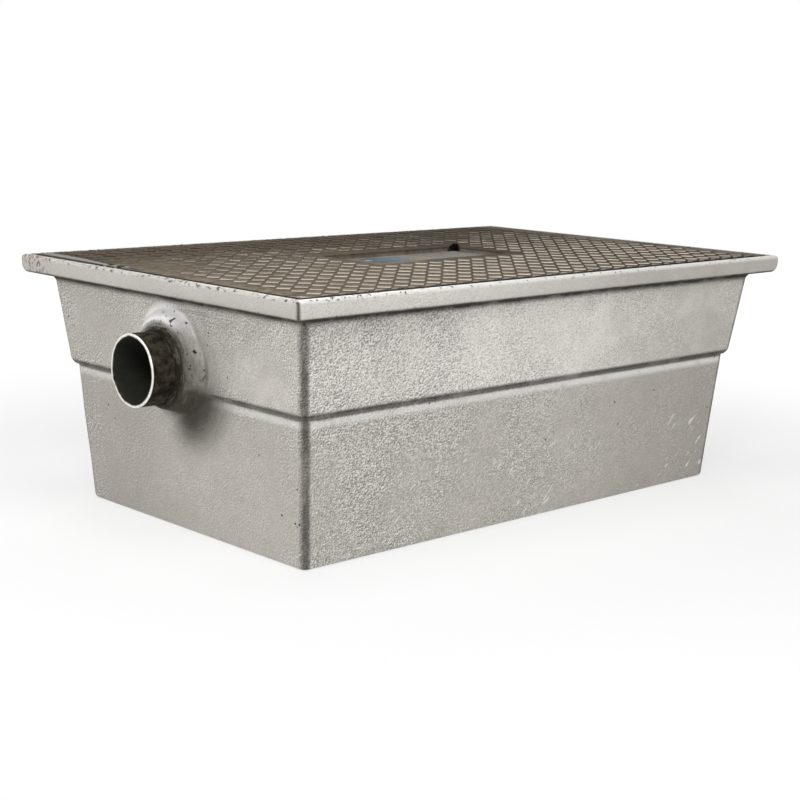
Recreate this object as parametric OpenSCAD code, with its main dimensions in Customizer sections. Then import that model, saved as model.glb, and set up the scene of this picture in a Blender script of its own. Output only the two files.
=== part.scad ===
// Grease trap: a drafted, stepped cast tank with a chequered drop-in cover,
// a pipe spigot at each end, two hanging baffles and a slotted strainer basket.
// Millimetres, +Z up, origin at the middle of the base, inlet end at -X.

/* [Overall] */
// Length over the rim
rim_l = 600; // [560:1:680]
// Width over the rim
rim_w = 386; // [350:1:440]
// Height to the top of the rim
trap_h = 220; // [210:1:260]

/* [Rim] */
// Height of the rim's edge
rim_h = 16; // [15:0.5:20]
// How far the rim stands out from the body
rim_over = 21; // [18:0.5:26]
// How far the rim's lower edge rounds in
rim_draw = 4.5; // [2:0.5:6]
// Height of that rounded lower edge
rim_curve_h = 9; // [5:0.5:11]
// Radius of the rim's corners in plan
rim_r = 2.5; // [1.5:0.5:6]
// Fillet between the rim and the body
rim_fillet = 9; // [5:0.5:11]
// Rounded edge along the top of the rim
edge_break = 3; // [0.5:0.5:3.5]
// Width of the lip round the cover
lip_w = 5; // [4:0.5:7]
// Depth of the rebate that takes the cover
rebate_d = 11; // [8:0.5:12]
// Radius of the rebate's corners in plan
rebate_r = 4; // [3:0.5:8]

/* [Tank] */
// Thickness of the walls
wall = 6.5; // [5:0.5:8]
// Thickness of the floor
floor_t = 8; // [6:0.5:12]
// Radius of the upright corners outside
body_r = 6; // [4:0.5:10]
// Radius of the upright corners inside
inner_r = 5; // [3:0.5:8]
// Rounding of the bottom edge outside
foot_r = 4.5; // [2:0.5:7]
// Rounding between floor and walls inside
floor_r = 8; // [4:0.5:12]
// Height of the step's lower edge
step_z = 123; // [105:1:130]
// Height of the step's rounded underside
step_h = 9.5; // [6:0.5:12]
// How far the step stands out
step_in = 5.3; // [4:0.1:7]
// Draft of the walls below the step, in degrees
draft_low = 4.2; // [2:0.1:6]
// Draft of the walls above the step, in degrees
draft_up = 6.2; // [3:0.1:8]

/* [Pipes] */
// Height of the pipe axes above the base
pipe_z = 143.5; // [138:0.5:150]
// Outside diameter of a spigot
pipe_d = 60.3; // [48:0.1:64]
// Wall of a spigot
pipe_t = 2.9; // [2.3:0.1:4.5]
// Length of a spigot clear of its collar
pipe_out = 21.5; // [20:0.5:60]
// How much the turned seat of a spigot is reduced, on the radius
seat_cut = 0.9; // [0.5:0.1:1.2]
// Radial clearance of the seat in its boss
seat_clear = 0.1; // [0.05:0.05:0.2]
// Radius of a boss at the wall
boss_r = 43; // [42:0.5:52]
// Height of a boss's middle above the pipe axis
boss_up = 5; // [0:0.5:6]
// Radius of a boss at its face
boss_face_r = 34; // [33.5:0.5:40]
// How far a boss stands out from the wall at the pipe axis
boss_out = 13.6; // [10:0.1:18]
// How far a boss backs into the tank past the wall
boss_back = 9; // [7:0.5:12]
// How far the collar of a boss runs up its spigot
collar_h = 6; // [3:0.5:10]
// Thickness of that collar at its end
collar_t = 1; // [0.8:0.1:1.2]

/* [Cover] */
// Thickness of the cover plate
cover_t = 8.5; // [7:0.5:10]
// Gap between the cover and the lip
cover_gap = 4; // [2:0.5:5]
// Radius of the cover's corners
cover_r = 3; // [2:0.5:6]
// Pitch of the tread pads along both sides
pad_pitch = 17.6; // [16.8:0.2:24]
// Side of a tread pad, set cornerwise
pad_side = 11.4; // [8:0.1:11.6]
// Height of a tread pad
pad_h = 1.2; // [0.8:0.1:2]
// Plain strip at the two ends
plain_end = 18; // [8:1:30]
// Plain strip along the two sides
plain_side = 2; // [1:1:15]
// Length of the plain sunk panel
panel_l = 170; // [120:1:200]
// Width of the plain sunk panel
panel_w = 72; // [50:1:90]
// Depth of the sunk panel
panel_d = 4.5; // [2:0.5:6]
// Metal kept under the panel and under the key pocket
panel_back = 5; // [4:0.5:7]
// Thickness of the underside ribs
rib_t = 6; // [4:0.5:8]
// Depth of the underside ribs
rib_d = 7; // [6:0.5:10]
// Clearance of the underside ribs inside the tank's mouth
rib_clear = 4; // [2:0.5:8]
// Number of ribs across the cover
rib_count = 4; // [2:1:6]
// Length of the wedge-shaped lifting key pocket
key_l = 40; // [30:1:50]
// Width of the key pocket at its wide end
key_w = 12; // [10:0.5:14]
// Width of the key pocket at its narrow end
key_tip = 4; // [3:0.5:6]
// Depth of the key pocket
key_d = 10; // [7:0.5:12]
// Direction of the key pocket from the length of the cover, in degrees
key_turn = 43; // [35:1:55]
// Width of a prising notch in the inlet end of the cover
notch_w = 8; // [5:0.5:10]
// Depth of a prising notch
notch_d = 10; // [6:0.5:12]
// Distance of the first prising notch from the middle
notch_y = 58; // [30:1:90]
// Distance between the two prising notches
notch_gap = 17; // [14:1:30]

/* [Seal] */
// Width of the cover's flat seal
seal_w = 14; // [8:0.5:15]
// Thickness of the seal
seal_t = 2.5; // [1.5:0.5:3]
// Distance of the seal from the edge of the cover
seal_in = 2; // [1:0.5:3]

/* [Baffles] */
// Thickness of a baffle plate
baffle_t = 5; // [3:0.5:8]
// Distance of the inlet baffle from the inside of the inlet end
inlet_chamber_l = 145; // [110:1:170]
// Distance of the outlet baffle from the inside of the outlet end
outlet_chamber_l = 95; // [70:1:140]
// Height of the passage under the inlet baffle
inlet_gap = 48; // [25:1:70]
// Height of the passage under the outlet baffle
outlet_gap = 32; // [20:1:60]
// Height of a baffle above the inner ledge
baffle_up = 50; // [30:1:55]
// Clearance between a baffle and the walls
baffle_clear = 0.8; // [0.5:0.1:1]
// Radius of the finger hole in a baffle
finger_r = 9; // [8:0.5:12]
// Clearance of a baffle in its guides, each side
guide_clear = 0.5; // [0.3:0.1:1]
// Thickness of a guide rib
guide_t = 6; // [4:0.5:8]
// Depth of a guide rib
guide_d = 9; // [6:0.5:12]
// Height of the guide ribs above the inner ledge
guide_up = 40; // [20:1:45]

/* [Basket] */
// Depth of the basket below the ledge
basket_depth = 88; // [60:1:100]
// Sheet thickness of the basket
sheet_t = 1.5; // [1:0.1:2.5]
// Clearance between the basket and the long walls at its floor
basket_side_clear = 5.5; // [3:0.5:12]
// Clearance between the basket and the inlet boss
basket_end_clear = 10; // [5:0.5:15]
// Clearance between the basket and the inlet baffle's guides
basket_clear = 5; // [3:0.5:8]
// Clearance of the basket's flanges to the walls
flange_clear = 1; // [0.5:0.1:1.5]
// Width of the notch under the inlet
inlet_notch_w = 90; // [70:1:110]
// Depth of the notch under the inlet
inlet_notch_d = 34; // [30:1:45]
// Width of a drain slot
slot_w = 5; // [3:0.5:6]
// Pitch of the drain slots
slot_pitch = 14; // [10:0.5:20]
// Plain margin round each field of slots
slot_margin = 14; // [10:1:20]
// Width of the handle strap
strap_w = 16; // [10:1:25]
// Thickness of the handle strap
strap_t = 2; // [1.5:0.5:3]
// Rise of the handle above the basket's flanges
strap_rise = 46; // [30:1:55]
// Length of the handle's feet
strap_foot = 12; // [8:1:14]

/* [Hidden] */
$fn = 64;
corner_n = 4;
curve_n = 4;
eps = 0.01;
over = 1; // how far a cut runs past the face that it opens

// Heights of the tank's main levels
rim_z = trap_h - rim_h;
seat_z = trap_h - rebate_d;
ledge_z = step_z + step_h;
cover_z = seat_z + seal_t;
cover_top = cover_z + cover_t;

// Insets from the rim's outline of the drafted walls, outside, at a height
function low_in(z) = up_in(ledge_z) + step_in + (step_z - z) * tan(draft_low);
function up_in(z) = rim_over + (rim_z - z) * tan(draft_up);

// Half sizes of the tank's inside at a height below and above the ledge
function low_half_l(z) = rim_l / 2 - low_in(z) - wall;
function low_half_w(z) = rim_w / 2 - low_in(z) - wall;
function up_half_l(z) = rim_l / 2 - up_in(z) - wall;
function up_half_w(z) = rim_w / 2 - up_in(z) - wall;

// One ring of points: the rim's outline drawn in by an inset, at a height
function ring(inset, z, r) = [
    for (c = [0:3], k = [0:corner_n])
        let (a = 90 * c + 90 * k / corner_n,
             sx = (c == 0 || c == 3) ? 1 : -1,
             sy = (c < 2) ? 1 : -1)
        [sx * (rim_l / 2 - inset - r) + r * cos(a),
         sy * (rim_w / 2 - inset - r) + r * sin(a), z]];

// The tank's section as [inset, height, corner radius], from the base up the
// outside, over the lip, down the rebate and the inside to the floor
function tank_section() = concat(
    [for (i = [0:curve_n])
        let (t = 90 * i / curve_n)
        [low_in(0) + foot_r * (1 - sin(t)), foot_r * (1 - cos(t)), body_r - foot_r / 2 * (1 - sin(t))]],
    [for (i = [0:curve_n])
        let (t = 90 * i / curve_n)
        [up_in(ledge_z) + step_in * (1 - sin(t)), step_z + step_h * (1 - cos(t)), body_r]],
    [for (i = [0:curve_n])
        let (t = 90 * i / curve_n)
        [rim_over - rim_fillet * (1 - cos(t)), rim_z - rim_fillet * (1 - sin(t)), body_r]],
    [for (i = [0:curve_n])
        let (t = 90 * i / curve_n)
        [rim_draw * (1 - sin(t)), rim_z + rim_curve_h * (1 - cos(t)), rim_r]],
    [for (i = [0:curve_n])
        let (t = 90 * i / curve_n)
        [edge_break * (1 - cos(t)), trap_h - edge_break * (1 - sin(t)), rim_r]],
    [[lip_w, trap_h, rebate_r],
     [lip_w, seat_z, rebate_r],
     [up_in(seat_z) + wall, seat_z, inner_r],
     [up_in(ledge_z) + wall, ledge_z, inner_r],
     [low_in(step_z) + wall, ledge_z, inner_r],
     [low_in(floor_t + floor_r) + wall, floor_t + floor_r, inner_r]],
    [for (i = [1:curve_n])
        let (t = 90 * i / curve_n)
        [low_in(floor_t + floor_r) + wall + floor_r * (1 - cos(t)),
         floor_t + floor_r * (1 - sin(t)), inner_r]]);

// A closed skin over a list of sections, capped at both ends
module skin(sections) {
    m = 4 * (corner_n + 1);
    n = len(sections);
    points = [for (s = sections) each ring(s[0], s[1], s[2])];
    sides = [for (i = [0:n - 2], k = [0:m - 1])
        let (a = i * m + k, b = i * m + (k + 1) % m)
        each [[a, a + m, b + m], [a, b + m, b]]];
    caps = [[for (k = [0:m - 1]) k], [for (k = [m - 1:-1:0]) (n - 1) * m + k]];
    polyhedron(points, concat(caps, sides));
}

// Rectangle with round corners, centred
module plate_outline(l, w, r) {
    square([l - 2 * r, w], center = true);
    square([l, w - 2 * r], center = true);
    for (x = [-1, 1], y = [-1, 1])
        translate([x * (l / 2 - r), y * (w / 2 - r)]) circle(r);
}

// Places along X, measured from the middle
inlet_baffle_x = inlet_chamber_l - low_half_l(step_z);
outlet_baffle_x = low_half_l(step_z) - outlet_chamber_l;
wall_x = rim_l / 2 - up_in(pipe_z);
boss_face_x = wall_x + boss_out;
boss_back_x = wall_x - wall - boss_back;
collar_x = boss_face_x + collar_h;
pipe_end_x = collar_x + pipe_out;
seat_r = pipe_d / 2 - seat_cut;

// Boss: a straight back through the wall under a rounded shoulder
module boss() {
    shoulder = boss_face_x - wall_x;
    translate([boss_back_x, 0, pipe_z + boss_up]) rotate([0, 90, 0])
        rotate_extrude() polygon(concat(
            [[0, 0], [boss_r, 0]],
            [for (i = [0:2 * curve_n])
                let (t = 90 * i / (2 * curve_n))
                [boss_face_r + (boss_r - boss_face_r) * cos(t),
                 wall_x - boss_back_x + shoulder * sin(t)]],
            [[0, boss_face_x - boss_back_x]]));
}

// Collar: a hub through the boss that ends in a hollow fillet up the spigot
module collar() {
    hub = boss_face_x - boss_back_x;
    end_r = pipe_d / 2 + collar_t;
    translate([boss_back_x, 0, pipe_z]) rotate([0, 90, 0])
        rotate_extrude() polygon(concat(
            [[0, 0], [boss_face_r, 0]],
            [for (i = [0:2 * curve_n])
                let (t = 90 * i / (2 * curve_n))
                [end_r + (boss_face_r - end_r) * (1 - sin(t)), hub + collar_h * (1 - cos(t))]],
            [[0, hub + collar_h]]));
}

// Upright rib that follows one long wall, from the floor to its top
module guide_rib() {
    top = ledge_z + guide_up;
    root = wall / 2;
    rotate([90, 0, 90]) linear_extrude(guide_t, center = true) polygon([
        [low_half_w(floor_t) - guide_d, floor_t - root],
        [low_half_w(step_z) - guide_d, ledge_z],
        [up_half_w(ledge_z) - guide_d, ledge_z + step_in],
        [up_half_w(top) - guide_d, top],
        [up_half_w(top) + root, top],
        [up_half_w(ledge_z) + root, ledge_z],
        [low_half_w(step_z) + root, step_z],
        [low_half_w(floor_t) + root, floor_t - root]]);
}

// The two slots that hold one baffle upright, a pair of ribs on each wall
module baffle_guides(x) {
    off = baffle_t / 2 + guide_clear + guide_t / 2;
    for (s = [-1, 1], side = [0, 1])
        translate([x + s * off, 0, 0]) mirror([0, side, 0]) guide_rib();
}

module tank() {
    color([0.66, 0.65, 0.63])
    difference() {
        union() {
            skin(tank_section());
            for (turn = [0, 180]) rotate([0, 0, turn]) {
                boss();
                collar();
            }
            baffle_guides(inlet_baffle_x);
            baffle_guides(outlet_baffle_x);
        }
        for (turn = [0, 180]) rotate([0, 0, turn])
            translate([boss_back_x - over, 0, pipe_z]) rotate([0, 90, 0])
                cylinder(r = seat_r + seat_clear, h = collar_x - boss_back_x + 2 * over);
    }
}

// Steel tube, turned down where it sits in its boss and collar, pointing to +X
module spigot() {
    bore_r = pipe_d / 2 - pipe_t;
    translate([boss_back_x, 0, pipe_z]) rotate([0, 90, 0])
        difference() {
            union() {
                cylinder(r = seat_r, h = collar_x - boss_back_x + eps);
                translate([0, 0, collar_x - boss_back_x]) cylinder(d = pipe_d, h = pipe_out);
            }
            translate([0, 0, -over]) cylinder(r = bore_r, h = pipe_end_x - boss_back_x + 2 * over);
        }
}

module inlet_spigot() {
    color([0.30, 0.27, 0.24]) rotate([0, 0, 180]) spigot();
}

module outlet_spigot() {
    color([0.30, 0.27, 0.24]) spigot();
}

cover_l = rim_l - 2 * (lip_w + cover_gap);
cover_w = rim_w - 2 * (lip_w + cover_gap);
pad_half = pad_side / sqrt(2);
tread_half_l = cover_l / 2 - plain_end;
tread_half_w = cover_w / 2 - plain_side;
key_x = panel_l / 2 - key_w / 4;
key_y = panel_w / 2 - key_w / 4;

// The key pocket runs outward from a corner of the panel, narrowing as it goes
module key_outline(grow) {
    translate([key_x, key_y]) rotate(key_turn) polygon([
        [-grow, -key_w / 2 - grow], [key_l + grow, -key_tip / 2 - grow],
        [key_l + grow, key_tip / 2 + grow], [-grow, key_w / 2 + grow]]);
}

// Whether a pad at x, y keeps clear of the panel and the key pocket
function in_panel(x, y) =
    abs(x) < panel_l / 2 + pad_half && abs(y) < panel_w / 2 + pad_half;
function along_key(x, y) = (x - key_x) * cos(key_turn) + (y - key_y) * sin(key_turn);
function across_key(x, y) = (y - key_y) * cos(key_turn) - (x - key_x) * sin(key_turn);
function in_key(x, y) =
    abs(across_key(x, y)) < key_w / 2 + pad_side / 2 && along_key(x, y) > 0
    && along_key(x, y) < key_l + pad_side / 2;

// Chequered tread: square pads set cornerwise on a square lattice, cut off at
// the plain strips where at least a quarter of a pad's length is left
module tread() {
    least = pad_half / 2;
    nx = floor((tread_half_l + least) / pad_pitch);
    ny = floor((tread_half_w + least) / pad_pitch - 0.5);
    linear_extrude(pad_h + eps) intersection() {
        square(2 * [tread_half_l, tread_half_w], center = true);
        for (i = [-nx:nx], j = [-ny - 1:ny])
            let (x = i * pad_pitch, y = (j + 0.5) * pad_pitch)
            if (!in_panel(x, y) && !in_key(x, y))
                translate([x, y]) rotate(45) square(pad_side, center = true);
    }
}

// Ribs under the cover: a frame that drops into the tank's mouth, and cross ribs
module cover_ribs() {
    frame_l = 2 * (up_half_l(seat_z) - rib_clear);
    frame_w = 2 * (up_half_w(seat_z) - rib_clear);
    linear_extrude(rib_d + eps) {
        difference() {
            square([frame_l, frame_w], center = true);
            square([frame_l - 2 * rib_t, frame_w - 2 * rib_t], center = true);
        }
        for (i = [1:rib_count])
            translate([frame_l * (i / (rib_count + 1) - 0.5), 0])
                square([rib_t, frame_w - rib_t], center = true);
        square([frame_l - rib_t, rib_t], center = true);
    }
}

module cover() {
    panel_under = panel_d + panel_back - cover_t;
    key_under = key_d + panel_back - cover_t;
    color([0.42, 0.39, 0.35])
    difference() {
        union() {
            translate([0, 0, cover_z]) linear_extrude(cover_t) plate_outline(cover_l, cover_w, cover_r);
            translate([0, 0, cover_top - eps]) tread();
            translate([0, 0, cover_z - rib_d]) cover_ribs();
            translate([0, 0, cover_z - panel_under]) linear_extrude(panel_under + eps)
                square([panel_l + 2 * panel_back, panel_w + 2 * panel_back], center = true);
            translate([0, 0, cover_z - key_under]) linear_extrude(key_under + eps) key_outline(panel_back);
        }
        translate([0, 0, cover_top - panel_d]) linear_extrude(panel_d + pad_h + over)
            square([panel_l, panel_w], center = true);
        translate([0, 0, cover_top - key_d]) linear_extrude(key_d + pad_h + over) key_outline(0);
        for (y = [notch_y, notch_y + notch_gap])
            translate([-cover_l / 2 - over, y - notch_w / 2, cover_z - over])
                cube([notch_d + over, notch_w, cover_t + 2 * over]);
    }
}

module cover_seal() {
    outer_l = cover_l - 2 * seal_in;
    outer_w = cover_w - 2 * seal_in;
    color([0.08, 0.08, 0.08]) translate([0, 0, seat_z]) linear_extrude(seal_t)
        difference() {
            plate_outline(outer_l, outer_w, cover_r);
            square([outer_l - 2 * seal_w, outer_w - 2 * seal_w], center = true);
        }
}

// Plate that hangs on the inner ledge by its shoulders, with a finger hole
module baffle(x, gap) {
    low = floor_t + gap;
    top = ledge_z + baffle_up;
    half = [low_half_w(low), low_half_w(step_z), up_half_w(ledge_z), up_half_w(top)];
    right = [[half[0], low], [half[1], ledge_z], [half[2], ledge_z], [half[3], top]];
    outline = concat(
        [for (p = right) [p[0] - baffle_clear, p[1]]],
        [for (i = [3:-1:0]) [baffle_clear - right[i][0], right[i][1]]]);
    translate([x, 0, 0]) rotate([90, 0, 90]) linear_extrude(baffle_t, center = true)
        difference() {
            polygon(outline);
            translate([0, top - 2 * finger_r]) circle(finger_r);
        }
}

module inlet_baffle() {
    color([0.50, 0.51, 0.51]) baffle(inlet_baffle_x, inlet_gap);
}

module outlet_baffle() {
    color([0.50, 0.51, 0.51]) baffle(outlet_baffle_x, outlet_gap);
}

basket_x0 = basket_end_clear - boss_back_x;
basket_x1 = inlet_baffle_x - baffle_t / 2 - guide_clear - guide_t - basket_clear;
basket_l = basket_x1 - basket_x0;
basket_z0 = ledge_z - basket_depth;
basket_half_w = low_half_w(basket_z0) - basket_side_clear;
flange_half_w = up_half_w(ledge_z) - flange_clear;
strap_x = (basket_x0 + basket_x1) / 2;

// A row of slots along the first axis, centred in a field of that length
module slot_row(field_l, slot_l) {
    n = floor((field_l - 2 * slot_margin - slot_w) / slot_pitch);
    for (i = [0:n]) translate([(i - n / 2) * slot_pitch, 0]) square([slot_w, slot_l], center = true);
}

module strainer_basket() {
    field_h = basket_depth - inlet_notch_d - 2 * slot_margin;
    field_z = basket_z0 + slot_margin + field_h / 2;
    color([0.55, 0.55, 0.53])
    difference() {
        union() {
            translate([basket_x0, -basket_half_w, basket_z0])
                cube([basket_l, 2 * basket_half_w, basket_depth + sheet_t]);
            translate([basket_x0, -flange_half_w, ledge_z])
                cube([basket_l, 2 * flange_half_w, sheet_t]);
        }
        translate([basket_x0 + sheet_t, sheet_t - basket_half_w, basket_z0 + sheet_t])
            cube([basket_l - 2 * sheet_t, 2 * (basket_half_w - sheet_t), basket_depth + over]);
        translate([basket_x0 - over, -inlet_notch_w / 2, ledge_z + sheet_t - inlet_notch_d])
            cube([sheet_t + 2 * over, inlet_notch_w, inlet_notch_d + over]);
        translate([strap_x, 0, basket_z0 - over]) linear_extrude(sheet_t + 2 * over)
            rotate(90) slot_row(2 * basket_half_w, basket_l - 2 * slot_margin);
        translate([basket_x0 - over, 0, field_z]) rotate([90, 0, 90]) linear_extrude(basket_l + 2 * over)
            slot_row(2 * basket_half_w, field_h);
        translate([strap_x, basket_half_w + over, field_z]) rotate([90, 0, 0])
            linear_extrude(2 * (basket_half_w + over)) slot_row(basket_l, field_h);
    }
}

// Strap bent to an arc between two flat feet on the basket's side flanges
module basket_handle() {
    span = basket_half_w;
    arc_r = (span * span + strap_rise * strap_rise) / (2 * strap_rise);
    color([0.55, 0.55, 0.53])
    translate([strap_x, 0, ledge_z + sheet_t]) rotate([90, 0, 90])
        linear_extrude(strap_w, center = true) {
            intersection() {
                translate([0, strap_rise - arc_r]) difference() {
                    circle(arc_r, $fn = 128);
                    circle(arc_r - strap_t, $fn = 128);
                }
                translate([-span, 0]) square([2 * span, strap_rise + over]);
            }
            for (s = [-1, 1])
                translate([s * (span + strap_foot / 2 - strap_t), strap_t / 2])
                    square([strap_foot + 2 * strap_t, strap_t], center = true);
        }
}

tank();
cover();
cover_seal();
inlet_spigot();
outlet_spigot();
inlet_baffle();
outlet_baffle();
strainer_basket();
basket_handle();
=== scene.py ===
import math

import bpy
import numpy as np
from mathutils import Matrix, Vector


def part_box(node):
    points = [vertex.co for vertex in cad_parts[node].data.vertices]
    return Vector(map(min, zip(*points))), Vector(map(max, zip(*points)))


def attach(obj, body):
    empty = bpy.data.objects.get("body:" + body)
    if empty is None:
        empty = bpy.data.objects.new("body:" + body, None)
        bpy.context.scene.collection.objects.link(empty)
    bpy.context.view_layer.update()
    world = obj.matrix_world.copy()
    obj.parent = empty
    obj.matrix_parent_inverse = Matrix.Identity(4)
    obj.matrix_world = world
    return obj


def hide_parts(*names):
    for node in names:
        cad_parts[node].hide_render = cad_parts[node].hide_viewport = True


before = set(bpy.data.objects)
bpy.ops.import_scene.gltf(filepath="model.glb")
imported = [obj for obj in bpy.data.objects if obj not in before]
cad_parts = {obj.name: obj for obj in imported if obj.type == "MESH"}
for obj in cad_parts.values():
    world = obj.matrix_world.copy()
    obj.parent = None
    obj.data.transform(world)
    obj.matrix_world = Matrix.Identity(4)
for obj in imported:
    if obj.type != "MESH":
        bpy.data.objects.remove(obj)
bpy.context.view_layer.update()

MM = 0.001


def box_mm(name):
    """Lowest and highest corner of a CAD node, in millimetres."""
    low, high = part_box(name)
    return np.array(low) / MM, np.array(high) / MM


# Sizes in millimetres: from the frame's boxes where they give them, otherwise as the casting is drawn
tank_high = box_mm("tank")[1]
cover_low, cover_high = box_mm("cover")
tube_low, tube_high = box_mm("inlet_spigot")
seal_low, seal_high = box_mm("cover_seal")
RIM_HALF_L, RIM_HALF_W, TRAP_H = tank_high
RIM_H, RIM_OVER, RIM_DRAW, RIM_CURVE_H = 16.0, 21.0, 4.5, 9.0
RIM_R, RIM_FILLET, EDGE_BREAK = 2.5, 9.0, 3.0
LIP_W, REBATE_R = 5.0, 4.0
WALL, FLOOR_T, BODY_R, INNER_R, FOOT_R, FLOOR_R = 6.5, 8.0, 6.0, 5.0, 4.5, 8.0
STEP_Z, STEP_H, STEP_IN = 123.0, 9.5, 5.3
SLOPE_LOW, SLOPE_UP = math.tan(math.radians(4.2)), math.tan(math.radians(6.2))
RIM_Z, SEAT_Z, LEDGE_Z = TRAP_H - RIM_H, seal_low[2], STEP_Z + STEP_H
PIPE_Z, PIPE_R, PIPE_T, SEAT_CUT, SEAT_CLEAR = (tube_low[2] + tube_high[2]) / 2, tube_high[1], 2.9, 0.9, 0.1
PIPE_END, BOSS_BACK = -tube_low[0], -tube_high[0]
BOSS_R, BOSS_UP, BOSS_FACE_R, BOSS_OUT = 43.0, 5.0, 34.0, 13.6
COLLAR_H, COLLAR_R = 6.0, PIPE_R + 1.0
BORE_R = PIPE_R - SEAT_CUT + SEAT_CLEAR
COVER_HALF_L, COVER_HALF_W = cover_high[0], cover_high[1]
COVER_Z, COVER_T, COVER_R = seal_high[2], 8.5, 3.0
COVER_TOP = COVER_Z + COVER_T
PAD_H = cover_high[2] - COVER_TOP
PAD_PITCH, PAD_SIDE, PLAIN_END, PLAIN_SIDE = 17.6, 11.4, 18.0, 2.0
PANEL_HALF_L, PANEL_HALF_W, PANEL_D, PANEL_BACK = 85.0, 36.0, 4.5, 5.0
KEY_L, KEY_W, KEY_TIP, KEY_D, KEY_TURN = 40.0, 12.0, 4.0, 10.0, math.radians(43)
KEY_X, KEY_Y = PANEL_HALF_L - KEY_W / 4, PANEL_HALF_W - KEY_W / 4
NOTCH_W, NOTCH_D, NOTCH_YS = 8.0, 10.0, (58.0, 75.0)
RIB_T, RIB_LOW, RIB_CLEAR, RIB_COUNT = 6.0, cover_low[2], 4.0, 4
GUIDE_T, GUIDE_D, GUIDE_UP, GUIDE_CLEAR = 6.0, 9.0, 40.0, 0.5

# How finely the shapes are drawn, how soft their edges are, and the shape of boss and pads
ROW_SPACING, ROWS_PER_RADIAN, COLUMN_SPACING, CORNER_STEPS, ARC_POINTS = 3.6, 4.0, 3.9, 8, 13
WALL_SOFT, RIM_SOFT = 0.5, 0.45
BOSS_ROWS, POCKET_ROWS, ROW_EASE, BOSS_MARGIN = 30, 8, 1.4, 3.5
DOME_POWER, DOME_BLEND, COLLAR_FALL, POCKET_STEEP = 2.5, 7.0, 3.0, 12.0
TUBE_SIDES, TUBE_BORE_ROWS, TUBE_ROWS, LIP_POINTS, LIP_POWER, LIP_ROUND = 112, 12, 7, 9, 0.45, 0.9
PAD_POINTS, PAD_POWER = 16, 0.26
SMALL_R, PANEL_R, MOUTH_R = 1.6, 3.0, 1.0


def up_in(z):
    """Inset of the upper wall from the rim's outline at a height, outside."""
    return RIM_OVER + (RIM_Z - z) * SLOPE_UP


def low_in(z):
    """Inset of the lower wall from the rim's outline at a height, outside."""
    return up_in(LEDGE_Z) + STEP_IN + (STEP_Z - z) * SLOPE_LOW


WALL_X = RIM_HALF_L - up_in(PIPE_Z)
BOSS_FACE = WALL_X + BOSS_OUT
COLLAR_END = BOSS_FACE + COLLAR_H


# Shapes

def lumps(points, size, seed):
    """Smooth random field from -1 to 1: hashed values on a cubic lattice of the given size, blended by
    smooth steps along the three axes."""
    cell = np.floor(points / size).astype(np.int64)
    part = points / size - cell
    part = part * part * (3 - 2 * part)
    total = np.zeros(len(points))
    for corner in np.ndindex(2, 2, 2):
        i, j, k = (cell + np.array(corner)).T
        h = (i * 73856093) ^ (j * 19349663) ^ (k * 83492791) ^ (seed * 374761393)
        h = ((h ^ (h >> 13)) * 1274126177) & 0xFFFFFFFF
        h = (h ^ (h >> 16)) & 0xFFFF
        weight = np.prod(np.where(np.array(corner) == 1, part, 1 - part), axis=1)
        total += weight * (h / 32767.5 - 1)
    return total


def added(name, data):
    """A new object in the scene, with its mesh, lamp or camera."""
    made = bpy.data.objects.new(name, data)
    bpy.context.scene.collection.objects.link(made)
    return made


def new_piece(name, points, face_groups, sharp_angle, attributes=None):
    """A mesh from points in millimetres and groups of faces, each group an array with one face a row."""
    mesh = bpy.data.meshes.new(name)
    mesh.vertices.add(len(points))
    mesh.vertices.foreach_set("co", (np.asarray(points) * MM).astype(np.float32).ravel())
    sizes = np.concatenate([np.full(len(g), g.shape[1]) for g in face_groups])
    loops = np.concatenate([g.ravel() for g in face_groups])
    mesh.loops.add(len(loops))
    mesh.loops.foreach_set("vertex_index", loops.astype(np.int32))
    mesh.polygons.add(len(sizes))
    mesh.polygons.foreach_set("loop_start", (np.cumsum(sizes) - sizes).astype(np.int32))
    mesh.update(calc_edges=True)
    mesh.polygons.foreach_set("use_smooth", np.ones(len(sizes), dtype=bool))
    mesh.set_sharp_from_angle(angle=math.radians(sharp_angle))
    for key, values in (attributes or {}).items():
        layer = mesh.attributes.new(key, "FLOAT", "POINT")
        layer.data.foreach_set("value", np.asarray(values, dtype=np.float32))
    return added(name, mesh)


def strip_faces(index):
    """Quads between neighbouring rows of a grid of point numbers whose rows are closed loops."""
    nxt = np.roll(index, -1, axis=1)
    return np.stack([index[:-1], nxt[:-1], nxt[1:], index[1:]], axis=-1).reshape(-1, 4)


def resample(path, spacing, bend):
    """Rows along a section: one about every spacing, and about bend more for each radian that it turns."""
    seg = np.linalg.norm(np.diff(path[:, :2], axis=0), axis=1)
    s = np.concatenate([[0], np.cumsum(seg)])
    heading = np.unwrap(np.arctan2(np.diff(path[:, 1]), np.diff(path[:, 0])))
    turn = np.zeros(len(path))
    turn[1:-1] = np.abs(np.diff(heading))
    want = np.concatenate([[0], np.cumsum(seg / spacing + bend * (turn[1:] + turn[:-1]) / 2)])
    stations = np.interp(np.linspace(0, want[-1], int(math.ceil(want[-1])) + 1), want, s)
    return np.stack([np.interp(stations, s, path[:, k]) for k in range(path.shape[1])], axis=1)


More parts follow.
